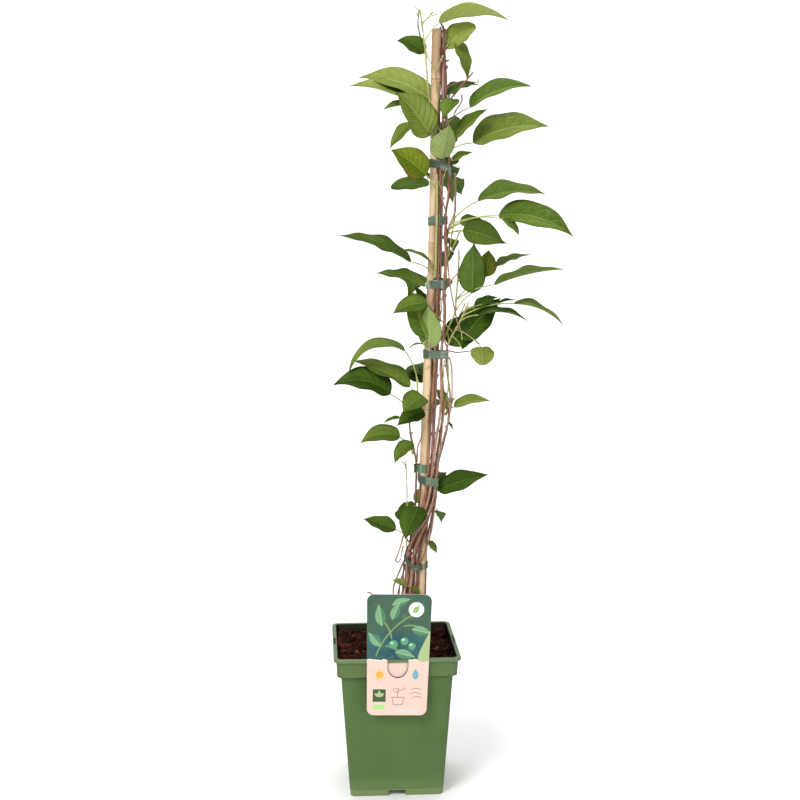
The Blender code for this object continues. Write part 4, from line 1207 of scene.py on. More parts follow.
# The print, in millimetres across from the card's middle and up from its foot
STALKS = (                # start, end, and how far it bows
    (-26, 72, 20, 124, 7), (-8, 93, -20, 116, -2), (6, 108, 26, 106, 2), (-15, 84, 2, 76, 2),
)
PRINTED_LEAVES = (        # middle, half length, half width, turn
    (-22, 121, 13, 6.0, 100), (27, 102, 12, 5.5, -12), (2, 137, 11, 5.0, 20),
    (-4, 126, 11, 5.2, 68), (8, 74, 12, 5.4, -14), (-28, 92, 11, 5.2, 132),
)
BERRIES = ((-6, 86, 5.4), (7, 90, 4.8), (16, 84, 4.4))
SUN, SUN_SIZE, RAYS, RAY_REACH = (-21, 49), 4.6, 45, (6, 8.6)
DRAWN = (                 # a seedling in its pot, and a breeze
    (-6, 22, -4, 13, 0), (-4, 13, 6, 13, 0), (6, 13, 8, 22, 0), (-7, 22, 9, 22, 0),
    (1, 22, 2, 33, 1), (2, 28, -5, 33, 2), (2, 31, 9, 35, -2), (-5, 33, 2, 28, 2),
    (16, 31, 28, 31, 2), (15, 26, 27, 26, 2), (17, 21, 29, 21, 2),
)
INK = (118, 104, 92)


def prism(name, outline, front, back):
    """A flat outline of x and z, with a front and a back."""
    return new_piece(name, *loft([[(x, y, z) for x, z in outline] for y in (front, back)]), smooth=False)


def rounded(corners, radius):
    """An outline with its corners rounded by arcs."""
    outline = []
    for k, corner in enumerate(corners):
        here = Vector(corner)
        back = (Vector(corners[k - 1]) - here).normalized()
        ahead = (Vector(corners[(k + 1) % len(corners)]) - here).normalized()
        half = back.angle(ahead) / 2
        middle = here + (back + ahead).normalized() * radius / sin(half)
        start, end = here + back * radius / tan(half), here + ahead * radius / tan(half)
        turn = (start - middle).angle_signed(end - middle)
        for step in range(CORNER_CUTS + 1):
            spoke = start - middle
            spoke.rotate(Matrix.Rotation(-turn * step / CORNER_CUTS, 2))
            outline.append(tuple(middle + spoke))
    return outline


def tongue_outline(width, top, foot):
    """The tongue's outline: straight sides and a rounded end."""
    half, drop = width / 2, width / 2 * TONGUE_ROUND
    turns = [pi * k / ARC_STEPS for k in range(ARC_STEPS + 1)]
    end = [(-half * cos(t), foot + drop - drop * sin(t)) for t in turns]
    return [(-half, top), *end, (half, top)]


class Print(Finish):
    """A printed card, drawn on its own map in millimetres: across from the middle, and up."""

    def __init__(self, name, roughness, **constants):
        super().__init__(name, roughness, **constants)
        sheet = self.node("ShaderNodeUVMap", {"uv_map": "card"})
        self.sheet = sheet
        self.across = (self.axis("X", sheet) - 0.5) * SHEET_SIZE
        self.up = self.axis("Y", sheet) * SHEET_SIZE

    def turned(self, x, z, turn):
        """How far along and across a turned line through a point, which has a length of 1."""
        dx, dz = self.across - x, self.up - z
        c, s = turn
        return dx * c + dz * s, dz * c - dx * s

    def oval(self, x, z, wide, high):
        """How far out of an oval, as a share of its size: 1 on its edge."""
        u, v = self.turned(x, z, (1.0, 0.0))
        u, v = u / wide, v / high
        return (u * u + v * v).sum("SQRT")

    def leaf(self, x, z, long, wide, turn):
        """How far out of a leaf shape of two arcs, how far along it and how far across it."""
        u, v = self.turned(x, z, (cos(radians(turn)), sin(radians(turn))))
        u, v = u / long, v / wide
        return u * u + v.size() * (1.0 + u * 0.35), u, v

    def stroke(self, x0, z0, x1, z1, bow=0.0):
        """The distance from a straight or bowed line."""
        length = sqrt((x1 - x0) ** 2 + (z1 - z0) ** 2)
        u, v = self.turned(x0, z0, ((x1 - x0) / length, (z1 - z0) / length))
        u = u / length
        bend = u * (1.0 - u) * (4.0 * bow) if bow else 0.0
        outside = (u - 0.5).size() - 0.5
        return (v - bend).size() + outside.sum("MAXIMUM", 0.0) * length * 4.0

    def box(self, x, z, half_wide, half_high):
        """How far outside a box, in millimetres."""
        return ((self.across - x).size() - half_wide).sum("MAXIMUM", (self.up - z).size() - half_high)


def label_print():
    card = Print("printed card", 0.4, specular_ior_level=0.3)
    fibre = card.cloud(60, 3, 0.5, card.sheet)
    pink = card.mix(fibre.within(0.3, 0.7), paint(234, 205, 190), paint(231, 200, 185))
    # the dusky print
    far = card.cloud(5.0, 3, 0.5, card.sheet)
    near = card.cloud(12.0, 2, 0.45, card.sheet)
    card.ground(far.within(0.35, 0.65), (38, 82, 94), (62, 108, 104))
    high = (card.up + near * 12.0).within(96.0, 114.0)
    card.coat(high * 0.85, (74, 102, 78))
    card.coat(near.within(0.55, 0.75) * 0.35, (104, 150, 124))
    edge = card.oval(0, 108, 46, 52).within(0.7, 1.1)
    card.coat(edge * 0.3, (36, 66, 66))
    for stalk in STALKS:
        line = card.stroke(*stalk).within(1.2, 0.6)
        card.coat(line * 0.9, (132, 160, 100))
    for leaf in PRINTED_LEAVES:
        out, u, v = card.leaf(*leaf)
        body = out.within(1.04, 0.96)
        tint = card.mix(v.within(-0.7, 0.7), paint(72, 124, 94), paint(120, 170, 126))
        tint = card.mix(v.size().within(0.12, 0.04) * 0.8, tint, paint(176, 208, 162))
        ribs = ((u * 5.0 + v.size() * 1.6).sum("FRACT") - 0.5).size().within(0.12, 0.02)
        tint = card.mix(ribs * 0.45, tint, paint(160, 200, 156))
        card.colour = card.mix(body, card.colour, tint)
    for x, z, size in BERRIES:
        berry = card.oval(x, z, size, size)
        card.coat(berry.within(1.03, 0.95), (96, 160, 118))
        card.coat(card.oval(x - 1.6, z + 1.8, 2.4, 1.7).within(1.2, 0.2) * 0.8, (214, 240, 214))
        card.coat((berry - 0.92).size().within(0.14, 0.02) * 0.3, (56, 110, 90))
    disc = card.oval(20, 128, 9.0, 9.0)
    card.coat(disc.within(1.02, 0.97), (244, 248, 240))
    sprout, u, v = card.leaf(20, 128.5, 6.0, 2.7, 52)
    card.coat(sprout.within(1.05, 0.92), (120, 170, 84))
    card.coat(v.size().within(0.14, 0.04) * sprout.within(1.0, 0.9), (226, 238, 200))
    ripple = card.cloud(26, 3, 0.6, card.sheet)
    torn = card.up + (ripple - 0.5) * 5.0
    seam = PANEL_TOP - LABEL_FOOT
    card.colour = card.mix(torn.within(seam + 0.1, seam + 0.5), pink, card.colour)
    card.coat((torn - seam - 0.1).size().within(0.7, 0.2) * 0.8, (252, 246, 240))
    # the small drawings
    sun = card.oval(*SUN, SUN_SIZE, SUN_SIZE)
    card.coat(sun.within(1.02, 0.95), (244, 176, 72))
    for turn in range(10, 360, RAYS):
        c, s = cos(radians(turn)), sin(radians(turn))
        near, far = [(SUN[0] + reach * c, SUN[1] + reach * s) for reach in RAY_REACH]
        ray = card.stroke(*near, *far).within(0.55, 0.2)
        card.coat(ray * 0.9, (240, 168, 66))
    drop, _, _ = card.leaf(21, 50, 6.2, 3.2, 90)
    card.coat(drop.within(1.05, 0.95), (112, 178, 196))
    card.coat((drop - 1.0).size().within(0.16, 0.04) * 0.6, (66, 120, 140))
    for line in DRAWN:
        card.coat(card.stroke(*line).within(0.55, 0.2) * 0.85, INK)
    patch = card.box(-21, 24, 7.6, 7.6)
    card.coat(patch.within(0.3, -0.2), (72, 94, 62))
    for turn in (90, 30, 150):
        tile, _, v = card.leaf(3 * cos(radians(turn)) - 21, 23 + 3.4 * sin(radians(turn)), 3.9, 1.9, turn)
        card.coat(tile.within(1.1, 0.9), (172, 190, 134))
    band = card.box(-21, 10, 6.6, 2.6)
    card.coat(band.within(0.3, -0.1), (168, 222, 132))
    foot = card.box(14, 5.4, 12.0, 2.4).within(0.3, -0.1)
    card.coat(foot * 0.8, (236, 230, 232))
    dots = ((card.across * 0.42).sum("FRACT") - 0.5).size().within(0.26, 0.16)
    card.coat(foot * dots * 0.55, (150, 148, 160))
    return card.feed(roughness=0.3 + fibre * 0.12, normal=card.relief(fibre, 0.1, 0.3))


def card_back():
    card = Finish("bare card", 0.5)
    fibre = card.cloud(300, 4, 0.6)
    card.ground(fibre.within(0.3, 0.7), (232, 222, 214), (240, 230, 222))
    return card.feed(normal=card.relief(fibre, 0.1, 0.4))


def make_label():
    front = -(RIM_HALF + GAP + LABEL_THICK)
    wide, narrow = LABEL_TOP_WIDTH / 2, LABEL_FOOT_WIDTH / 2
    corners = [(-wide, LABEL_TOP), (-narrow, LABEL_FOOT), (narrow, LABEL_FOOT), (wide, LABEL_TOP)]
    label = prism("plant_label", rounded(corners, LABEL_CORNER), front, front + LABEL_THICK)
    hinge = RIM_TOP + GAP + LABEL_LIFT
    window = tongue_outline(TONGUE_WIDTH + 2 * TONGUE_CUT, hinge, hinge - TONGUE_LENGTH - TONGUE_CUT)
    hole = prism("window_cutter", window, front - PAST, front + LABEL_THICK + PAST)
    behind = -(RIM_HALF - RIM_BAR - (RIM_SLOT_DEPTH + LABEL_THICK) / 2)
    tongue = prism(
        "tongue", tongue_outline(TONGUE_WIDTH, hinge + LABEL_THICK, hinge - TONGUE_LENGTH),
        behind - LABEL_THICK, behind,
    )
    half = TONGUE_WIDTH / 2
    fold = [(-half, hinge), (half, hinge), (half, hinge + LABEL_THICK), (-half, hinge + LABEL_THICK)]
    bridge = prism("tongue_fold", fold, front + LABEL_THICK / 2, behind - LABEL_THICK / 2)
    for piece in (label, hole, tongue, bridge):
        face_out(piece)
    combine(label, [hole], "DIFFERENCE")
    mesh = combine(label, [tongue, bridge], "UNION")
    mesh.materials.clear()
    mesh.materials.append(label_print())
    mesh.materials.append(card_back())
    sheet = mesh.uv_layers.new(name="card")
    for face in mesh.polygons:
        at_front = face.normal.y < -0.9
        face.material_index = 0 if at_front else 1
        face.use_smooth = False
        for loop in face.loop_indices:
            spot = mesh.vertices[mesh.loops[loop].vertex_index].co
            across, up = spot.x / MM / SHEET_SIZE + 0.5, (spot.z / MM - LABEL_FOOT) / SHEET_SIZE
            sheet.data[loop].uv = (across, up)
    middle = Vector((0, 0, RIM_TOP)) * MM
    tilt = Matrix.Rotation(radians(LABEL_TILT), 4, "Y")
    mesh.transform(Matrix.Translation(middle) @ tilt @ Matrix.Translation(-middle))
    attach(label, "root")
    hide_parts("label")


make_label()


# ---- foliage ----
# Young shoots carry on from the stems' tips or start on the outside of the bundle. Each
# bears ovate leaves on thin stalks, folded a little along a pale midrib, with side veins
# that sink into the blade, a finely toothed edge and a hair-thin dark tip.

SHOOT_RADIUS, SHOOT_TIP_RADIUS = 1.5, 1.1
SHOOT_CLEAR, SHOOT_STEP, SHOOT_CURVE, SHOOT_UNEVEN = 1.4, 14, 6, 0.12
KNOT, KNOT_REACH = 0.55, 2.2         # the swelling of a shoot where a stalk leaves it
LOOK_REACH, LOOK_STEP = 81, 9        # degrees either way, in which the bundle is looked at
STALK_TIP, STALK_LEAST, STOUT_LEAF, BARE_STALK = 0.8, 0.35, 60, 0.9
STALK_RADIUS, STALK_FOOT, STALK_STEPS, STALK_ARC = 0.72, 1.15, 9, 16
LEAF_OUTLINE = (          # share of the leaf's length, share of its half width
    (0.0, 0.10), (0.04, 0.44), (0.12, 0.76), (0.25, 0.95), (0.38, 1.0),
    (0.55, 0.88), (0.72, 0.61), (0.85, 0.31), (0.93, 0.13), (1.0, 0.02),
)
LEAF_FOLD, LEAF_SKIN = 15.0, 0.32
LEAF_ROWS, LEAF_COLUMNS, FULL_LEAF = 56, 15, 50   # FULL_LEAF: of full teeth and ribs
TOOTH, TOOTHLESS = 0.16, 3                        # TOOTHLESS: rows at the leaf's ends
MARGIN_WAVE, QUILT, MIDRIB_RIDGE, MARGIN_CUP = 0.038, 0.30, 0.65, 0.05
WAVES, WAVE_SPREAD = (1.6, 2.6), (0.6, 1.5)
VEIN_PAIRS, VEIN_SLANT = 7.84, 0.20

# A leaf grows at a height on its shoot. Its stalk has a bearing, a length and a rise, and
# its blade has a bearing, a length, a rise that droops towards the tip, and a roll that
# turns its face to the front. Then come its width as a share of its length, and how blunt
# it is. A stalk with a blade of 0 is a bare twig.
Leaf = namedtuple(
    "Leaf", "height bearing stalk rise face blade pitch droop roll width blunt", defaults=(0, 0.54, 0)
)
# A shoot starts on its host, a stem's tip or the outside of the bundle at a height and
# bearing, and passes ways of a height, a bearing and a distance it stands off the bundle.
# Its leaves have a tone each: lime, pale, fresh, mid, deep, yellow, speckled, grey or olive
Mass = namedtuple("Mass", "name tones host ways leaves extra", defaults=(None,))
# Leaves that follow no plan: how many, and the lowest and highest bearing
Extra = namedtuple("Extra", "count low high")

MASSES = (
    Mass("foliage_tip", "pf", "stem_main", ((905, 345, 0.5),), (
        (874, 28, 9, 66, 12, 45, 61, 48, 60, 0.62, 0.6),
        (882, 8, 16, 35, 5, 47, -59, 25, 45),
    )),
    Mass("foliage_tip_shoot", "ldpp", "stem_front", (
        (800, 262, 0.5), (826, 216, 1), (880, 208, 6), (926, 200, 13),
    ), (
        (889, 352, 28, 51, 352, 83, 28, 54, -18, 0.42),
        (873, 185, 4, 62, 182, 36, 51, 55, 70, 0.6),
        (908, 5, 16, 42, 10, 8, 30, 20),
        (922, 175, 4, 50, 170, 8, 50, 20),
    )),
    Mass("foliage_top_right", "mdm-", "stem_second", ((812, 4, 2), (830, 6, 5)), (
        (797, 350, 33, 34, 350, 77, 43, 50, 32),
        (812, -94, 18, 75, 25, 48, 39, 45, 20),
        (808, 323, 20, 57, 239, 34, -28, 30, 10, 0.66),
        (820, 0, 26, 50, 0, 0, 0, 0),
    )),
    Mass("foliage_upper_right", "fmgm", (761, 345), ((790, 345, 2),), (
        (764, 355, 34, 18, 353, 90, 32, 40, 42),
        (770, 335, 14, 45, 335, 51, 49, 20, 48),
        (763, 229, 12, -39, 289, 47, 59, 12, 0, 0.66),
        (762, 10, 12, -44, 12, 27, 38, 30, 30),
    )),
    Mass("foliage_top_left", "fm", (763, 266), ((792, 262, 1),), (
        (776, 237, 12, 34, 217, 68, 53, 20, 88, 0.66),
        (781, 190, 31, 30, 186, 39, -36, 25, 45, 0.46),
    )),
    Mass("foliage_top_back", "yym", "stem_back", ((800, 110, 1), (826, 140, 2)), (
        (818, 160, 8, 89, 172, 90, 39, 44, 40, 0.48),
        (810, 186, 10, 70, 186, 95, 30, 34, 32, 0.46),
        (804, 200, 27, 35, 200, 40, 4, 30, 20),
    ), Extra(3, 66, 112)),
    Mass("foliage_upper_left", "dmmsd", (618, 290), ((650, 285, 1), (700, 285, 1.5), (738, 282, 2)), (
        (622, 192, 33, 26, 192, 91, 30, 20, 20),
        (632, 226, 9, 26, 200, 42, 40, 40, 15, 0.4),
        (620, 205, 18, -44, 190, 61, 25, 20, 25),
        (717, 205, 25, 54, 205, 53, 42, 20, 85, 0.66),
        (724, 190, 10, 16, 185, 45, 4, 20, -45, 0.5, 0.75),
    )),
    Mass("foliage_right_high", "mmmmomm", "stem_third", ((692, 0, 6), (740, 2, 3)), (
        (682, 355, 41, 38, 355, 80, 26, 40, 26),
        (676, 345, 62, 13, 345, 93, 10, 50, 42, 0.44),
        (680, 330, 70, 5, 330, 28, -27, 30, 20),
        (672, 20, 18, 28, 20, 36, 10, 25, 50, 0.6),
        (668, 350, 20, 15, 350, 52, -5, 26, 70, 0.6),
        (670, 15, 54, -7, 15, 25, -5, 30, 10),
        (739, 104, 4, -22, 92, 36, -58, 15, 50),
    )),
    Mass("foliage_right_middle", "dsmmd", (545, 15), ((575, 12, 10), (610, 10, 12), (650, 8, 12)), (
        (574, 345, 33, 49, 275, 61, 85, 15),
        (590, 5, 47, 37, 81, 40, 61, 20, 20),
        (612, 20, 55, 19, 20, 47, 27, 20, 10),
        (590, 350, 50, 22, 350, 85, 24, 22, 8),
        (552, -51, 16, -78, 30, 58, 41, 10, 50, 0.66),
    )),
    Mass("foliage_right_low", "yddmddd", "stem_fourth", ((560, 350, 12), (588, 352, 24)), (
        (556, 345, 38, -34, 274, 26, -34, 30, 0, 1.08, 0.9),
        (548, 350, 20, -52, 20, 18, 51, 40, 20),
        (566, 345, 24, 18, 355, 61, 21, 56, 5),
        (572, 5, 64, 13, 0, 68, 1, 50, 5),
        (578, 15, 44, 11, 10, 22, 24, 30, 10),
        (582, 25, 13, -10, 15, 32, 46, 40, 30),
        (562, 22, 20, -76, 20, 70, 52, 15, 45, 0.56),
    )),
    Mass("foliage_front_middle", "gmmm", (534.5, 272), ((560, 275, 0.5), (588, 285, 1)), (
        (538, 213, 5, -89, 255, 54, 82, 10),
        (580, 215, 12, 41, 195, 44, 4, 40, 55),
        (549, 200, 7, -20, 176, 62, 74, 8, 70, 0.5),
        (546, 190, 12, -39, 185, 19, 12, 60),
    )),
    Mass("foliage_left_middle", "mmdmdm", "stem_side", ((494, 192, 4),), (
        (493, 180, 40, 68, 185, 86, 32, 110, 12, 0.42),
        (470, 170, 19, 59, 176, 77, 34, 20, 20),
        (452, 195, 39, 43, 190, 74, 45, 70, 40),
        (466, 306, 16, 40, 231, 42, -10, 25, 30, 0.7),
        (458, 321, 14, -1, 215, 42, -5, 30, 45),
        (448, 185, 12, 1, 190, 23, 1, 30, 10),
    )),
    Mass("foliage_left_low", "mm", (404, 185), ((418, 190, 2),), (
        (409, 190, 23, 48, 192, 51, 23, 60, 40),
        (414, 281, 9, 35, 215, 36, -9, 60, 30),
    )),
    Mass("foliage_right_lower", "ym", (452, 350), ((472, 0, 1),), (
        (457, 0, 10, 30, 355, 45, 30, 40, 24),
        (462, 250, 18, -81, 340, 12, -47, 20, 10),
    )),
    Mass("foliage_right_foot", "mmd", (296, 300), ((330, 325, 0.5), (358, 350, 1)), (
        (299, 330, 3, -10, 330, 18, -45, 10, 30),
        (338, 340, 4, 0, 345, 11, -83, 10),
        (352, 350, 9, 71, 352, 64, 26, 14, 48, 0.46),
    )),
    Mass("foliage_left_foot", "dd-d", (278, 190), ((310, 190, 5), (345, 185, 8), (396, 182, 9)), (
        (303, 178, 16, 30, 172, 42, 24, 14, 40),
        (322, 290, 5, 12, 101, 36, 43, 30, 30, 0.8),
        (388, 150, 10, 50, 150, 0, 0, 0),
        (338, 333, 16, 10, 238, 46, -37, 20, 10, 0.72),
    )),
    Mass("foliage_foot", "ym-", (230, 250), ((243, 245, 1),), (
        (235, 208, 20, 34, 198, 19, 35, 20, 40),
        (233, 285, 9, 13, 200, 17, 45, 20, 40),
        (232, 228, 46, 5, 228, 0, 0, 0),
    )),
    Mass("foliage_back_high", "", (692, 70), ((740, 90, 2),), (), Extra(4, 64, 108)),
    Mass("foliage_back_upper", "d", (560, 75), ((600, 85, 1), (650, 90, 2)), (
        (590, 130, 16, -32, 150, 28, 68, 20, 0, 0.8),
    ), Extra(4, 64, 112)),
    Mass("foliage_back_middle", "m", (435, 75), ((500, 90, 2),), (
        (480, 10, 14, 2, 50, 32, -54, 10),
    ), Extra(4, 64, 112)),
    Mass("foliage_back_low", "", (300, 100), ((352, 90, 2),), (), Extra(3, 62, 92)),
)
SEED = 7
EXTRA_STALK, EXTRA_RISE, EXTRA_BLADE = (12, 34), (15, 50), (44, 80)
EXTRA_PITCH, EXTRA_DROOP, EXTRA_ROLL = (0, 40), (25, 70), (-22, 22)
EXTRA_TURN, EXTRA_FACE = 0.618, (-6, 6)
STOUT = {                 # shoots that are stouter or slimmer than the rest
    "foliage_tip": 1.45, "foliage_tip_shoot": 0.85, "foliage_left_foot": 0.6,
    "foliage_right_middle": 0.75, "foliage_right_low": 0.75,
}
GREEN_SHOOTS = (
    "foliage_tip_shoot", "foliage_top_left", "foliage_upper_left", "foliage_top_back",
    "foliage_left_middle", "foliage_left_low", "foliage_right_lower", "foliage_left_foot",
    "foliage_right_middle", "foliage_right_low",
)
SHOOT_RELIEF, BACK_TONES = 0.12, "dmd"
SHOOT_TONES = (           # sides, dark colour, light colour, colour of the blotches
    ("shoots_green", 10, "green shoot", (140, 146, 84), (186, 190, 130), (168, 160, 104)),
    ("shoots_brown", 10, "brown shoot", (116, 78, 68), (178, 144, 130), (148, 108, 98)),
    ("leaf_stalks", 8, "leaf stalk", (146, 152, 84), (190, 196, 128), (160, 140, 88)),
)
# The pale tones lime and yellow are partly the leaves' own colour and partly painted light for light that
# shines through a leaf
TONES = {                 # deep, mid and light of the upper side, deep and light of the under side
    "l": ((156, 170, 72), (196, 204, 96), (214, 220, 118), (150, 163, 80), (186, 196, 112)),
    "p": ((114, 132, 52), (142, 156, 70), (170, 180, 94), (126, 142, 60), (162, 174, 96)),
    "f": ((90, 112, 36), (118, 136, 56), (148, 162, 80), (108, 128, 52), (146, 162, 84)),
    "m": ((62, 90, 20), (92, 116, 40), (128, 148, 64), (96, 120, 44), (134, 152, 80)),
    "d": ((34, 60, 6), (54, 84, 16), (90, 114, 38), (70, 98, 32), (108, 132, 62)),
    "y": ((100, 122, 42), (130, 144, 64), (160, 168, 88), (122, 138, 58), (156, 168, 92)),
    "s": ((66, 92, 10), (98, 120, 22), (138, 152, 48), (112, 130, 52), (148, 160, 88)),
    "g": ((128, 146, 76), (156, 172, 98), (184, 196, 124), (126, 148, 78), (168, 184, 116)),
    "o": ((62, 82, 26), (82, 102, 36), (108, 124, 52), (74, 92, 36), (100, 116, 54)),
}


def touching(height, bearing, radius):
    """How far out along a bearing a shoot first stands clear of the bundle."""
    along = heading(bearing, 0).xy
    out = 0.0
    for middle, size in bundle(height):
        reach = size + radius + GAP + 0.1
        ahead = middle.dot(along)
        aside = (middle - along * ahead).length
        if aside < reach:
            out = max(out, ahead + sqrt(reach * reach - aside * aside))
    return out


def outside(height, bearing):
    """How far out along a bearing the bundle's tied outline reaches."""
    circles = bundle(height)
    reach = 1e9
    for turn in range(-LOOK_REACH, LOOK_REACH + 1, LOOK_STEP):
        spread = radians(turn)
        at = radians(bearing) + spread
        along = Vector((cos(at), sin(at)))
        reach = min(reach, max(m.dot(along) + r for m, r in circles) / cos(spread))
    return reach


def shoot_path(mass):
    """The points of a mass's own stem, from its foot on the bundle to its tip."""
    stem = next((s for s in STEMS if s.name == mass.host), None)
    if stem:
        foot = stem.top + GAP
        out, bearing = stem_polar(stem, stem.top)
    else:
        foot, bearing = mass.host
        out = touching(foot, bearing, SHOOT_RADIUS)
    bearing = (bearing + 90) % 360 - 90 if mass.ways[0][1] < 90 else bearing % 360
    marks = [(foot, bearing, None)] + list(mass.ways)
    path = []
    for low, high in zip(marks, marks[1:]):
        count = max(2, round((high[0] - low[0]) / SHOOT_STEP))
        for k in range(count):
            share = k / count
            z = between(low[0], high[0], share)
            turn = between(low[1], high[1], smoothly(share))
            stand = between(low[2] or 0.0, high[2], share)
            away = outside(z, turn) + SHOOT_RADIUS + SHOOT_CLEAR + stand
            if low[2] is None:
                away = between(out, away, smoothly(share * 2.2))
            path.append(on_bearing(z, turn, away))
    z, turn, stand = marks[-1]
    path.append(on_bearing(z, turn, outside(z, turn) + SHOOT_RADIUS + SHOOT_CLEAR + stand))
    return path


def point_at(path, height):
    """The point of a rising path at a height."""
    for low, high in zip(path, path[1:]):
        if height <= high.z:
            break
    share = min(max((height - low.z) / (high.z - low.z), 0), 1)
    return low.lerp(high, share)


def stalk_path(leaf, start):
    """A leaf's stalk: an arc that leaves its shoot steeply and flattens."""
    path = [start]
    for step in range(STALK_STEPS):
        rise = leaf.rise + STALK_ARC * (1 - 2 * (step + 0.5) / STALK_STEPS)
        path.append(path[-1] + heading(leaf.bearing, rise) * leaf.stalk / STALK_STEPS)
    return path


def blade_frames(leaf, base, shares):
    """The midrib's points with the way along, the way across and the face of the blade there."""
    frames = []
    point, last = base.copy(), 0.0
    side = 1 if cos(radians(leaf.face)) >= 0 else -1
    for share in shares:
        middle = (share + last) / 2
        point = point + heading(leaf.face, leaf.pitch - leaf.droop * middle) * leaf.blade * (share - last)
        along = heading(leaf.face, leaf.pitch - leaf.droop * share)
        roll = Matrix.Rotation(radians(leaf.roll * side), 3, along)
        across = roll @ heading(leaf.face + 90, 0)
        frames.append((point.copy(), along, across, along.cross(across)))
        last = share
    return frames


def extra_leaves(mass, path, chance):
    """The leaves of a mass that follow no plan, spread along its shoot."""
    if not mass.extra:
        return
    low, high = path[1].z, path[-1].z
    for k in range(mass.extra.count):
        share = (k + chance.uniform(0.2, 0.8)) / mass.extra.count
        around = (k * EXTRA_TURN + chance.random() * 0.3) % 1
        bearing = between(mass.extra.low, mass.extra.high, around)
        yield Leaf(
            between(low, high, share), bearing, chance.uniform(*EXTRA_STALK),
            chance.uniform(*EXTRA_RISE), bearing + chance.uniform(*EXTRA_FACE),
            chance.uniform(*EXTRA_BLADE), chance.uniform(*EXTRA_PITCH),
            chance.uniform(*EXTRA_DROOP), chance.uniform(*EXTRA_ROLL),
        )


def half_width(share):
    """The leaf's half width at a share of its length, as a share of its widest."""
    rows = LEAF_OUTLINE
    for k in range(len(rows) - 1):
        if share <= rows[k + 1][0]:
            break
    before, after = rows[max(k - 1, 0)], rows[min(k + 2, len(rows) - 1)]
    (x0, y0), (x1, y1) = rows[k], rows[k + 1]
    s = (share - x0) / (x1 - x0)
    slope0 = (y1 - before[1]) / max(x1 - before[0], 1e-6) * (x1 - x0)
    slope1 = (after[1] - y0) / max(after[0] - x0, 1e-6) * (x1 - x0)
    a, b = s * s * s, s * s
    return (2 * a - 3 * b + 1) * y0 + (a - 2 * b + s) * slope0 + (3 * b - 2 * a) * y1 + (a - b) * slope1


def leaf_sheet(leaf, base, number):
    """A blade's points, faces, map and sides: two skins that meet at the toothed edge."""
    chance = random.Random(number * 31 + 5)
    phases = (chance.uniform(0, 6.3), chance.uniform(0, 6.3))
    waves = chance.uniform(*WAVES)
    wave_size = MARGIN_WAVE * chance.uniform(*WAVE_SPREAD)
    shares = [k / LEAF_ROWS for k in range(LEAF_ROWS + 1)]
    frames = blade_frames(leaf, base, shares)
    stout, fold = min(1.0, leaf.blade / FULL_LEAF), sin(radians(LEAF_FOLD))
    top, under, marks = [], [], []
    middle_column = LEAF_COLUMNS // 2
    for row, (share, (point, _, across, up)) in enumerate(zip(shares, frames)):
        round_end = sqrt(sin(pi * between(0.03, 0.97, share)))
        half = leaf.blade * leaf.width / 2 * between(half_width(share), round_end, leaf.blunt)
        if row % 2 and TOOTHLESS < row < LEAF_ROWS - TOOTHLESS:
            half += TOOTH * stout
        for column in range(LEAF_COLUMNS):
            t = (column - middle_column) / middle_column
            t = (abs(t) ** 0.9) * (1 if t > 0 else -1) if t else 0.0
            away = abs(t)
            lift = half * fold * away ** 1.15 + half * MARGIN_CUP * sin(pi * away)
            lift += half * wave_size * 2 * away * away * sin(2 * pi * waves * share + phases[t > 0])
            vein = ((share - VEIN_SLANT * away) * VEIN_PAIRS) % 1.0
            quilt = QUILT * (abs(vein - 0.5) * -2 + 0.5) * sin(pi * min(away * 1.1, 1.0)) * stout
            place = point + across * half * t + up * (lift + quilt)
            top.append(place)
            ridge = MIDRIB_RIDGE * (1 - share) ** 0.8 * max(0.0, 1 - away * 6) * stout
            under.append(place - up * (LEAF_SKIN + ridge))
            marks.append((0.5 + 0.5 * t, share))
    points, mapped = list(top), list(marks)
    below = {}
    for row in range(LEAF_ROWS + 1):
        for column in range(LEAF_COLUMNS):
            k = row * LEAF_COLUMNS + column
            if row in (0, LEAF_ROWS) or column in (0, LEAF_COLUMNS - 1):
                below[k] = k
            else:
                below[k] = len(points)
                points.append(under[k])
                mapped.append(marks[k])
    faces, sides = [], []
    for row in range(LEAF_ROWS):
        for column in range(LEAF_COLUMNS - 1):
            a = row * LEAF_COLUMNS + column
            b, c, d = a + LEAF_COLUMNS, a + LEAF_COLUMNS + 1, a + 1
            faces.append((a, b, c, d))
            faces.append((below[d], below[c], below[b], below[a]))
            sides += [0, 1]
    return points, faces, mapped, sides


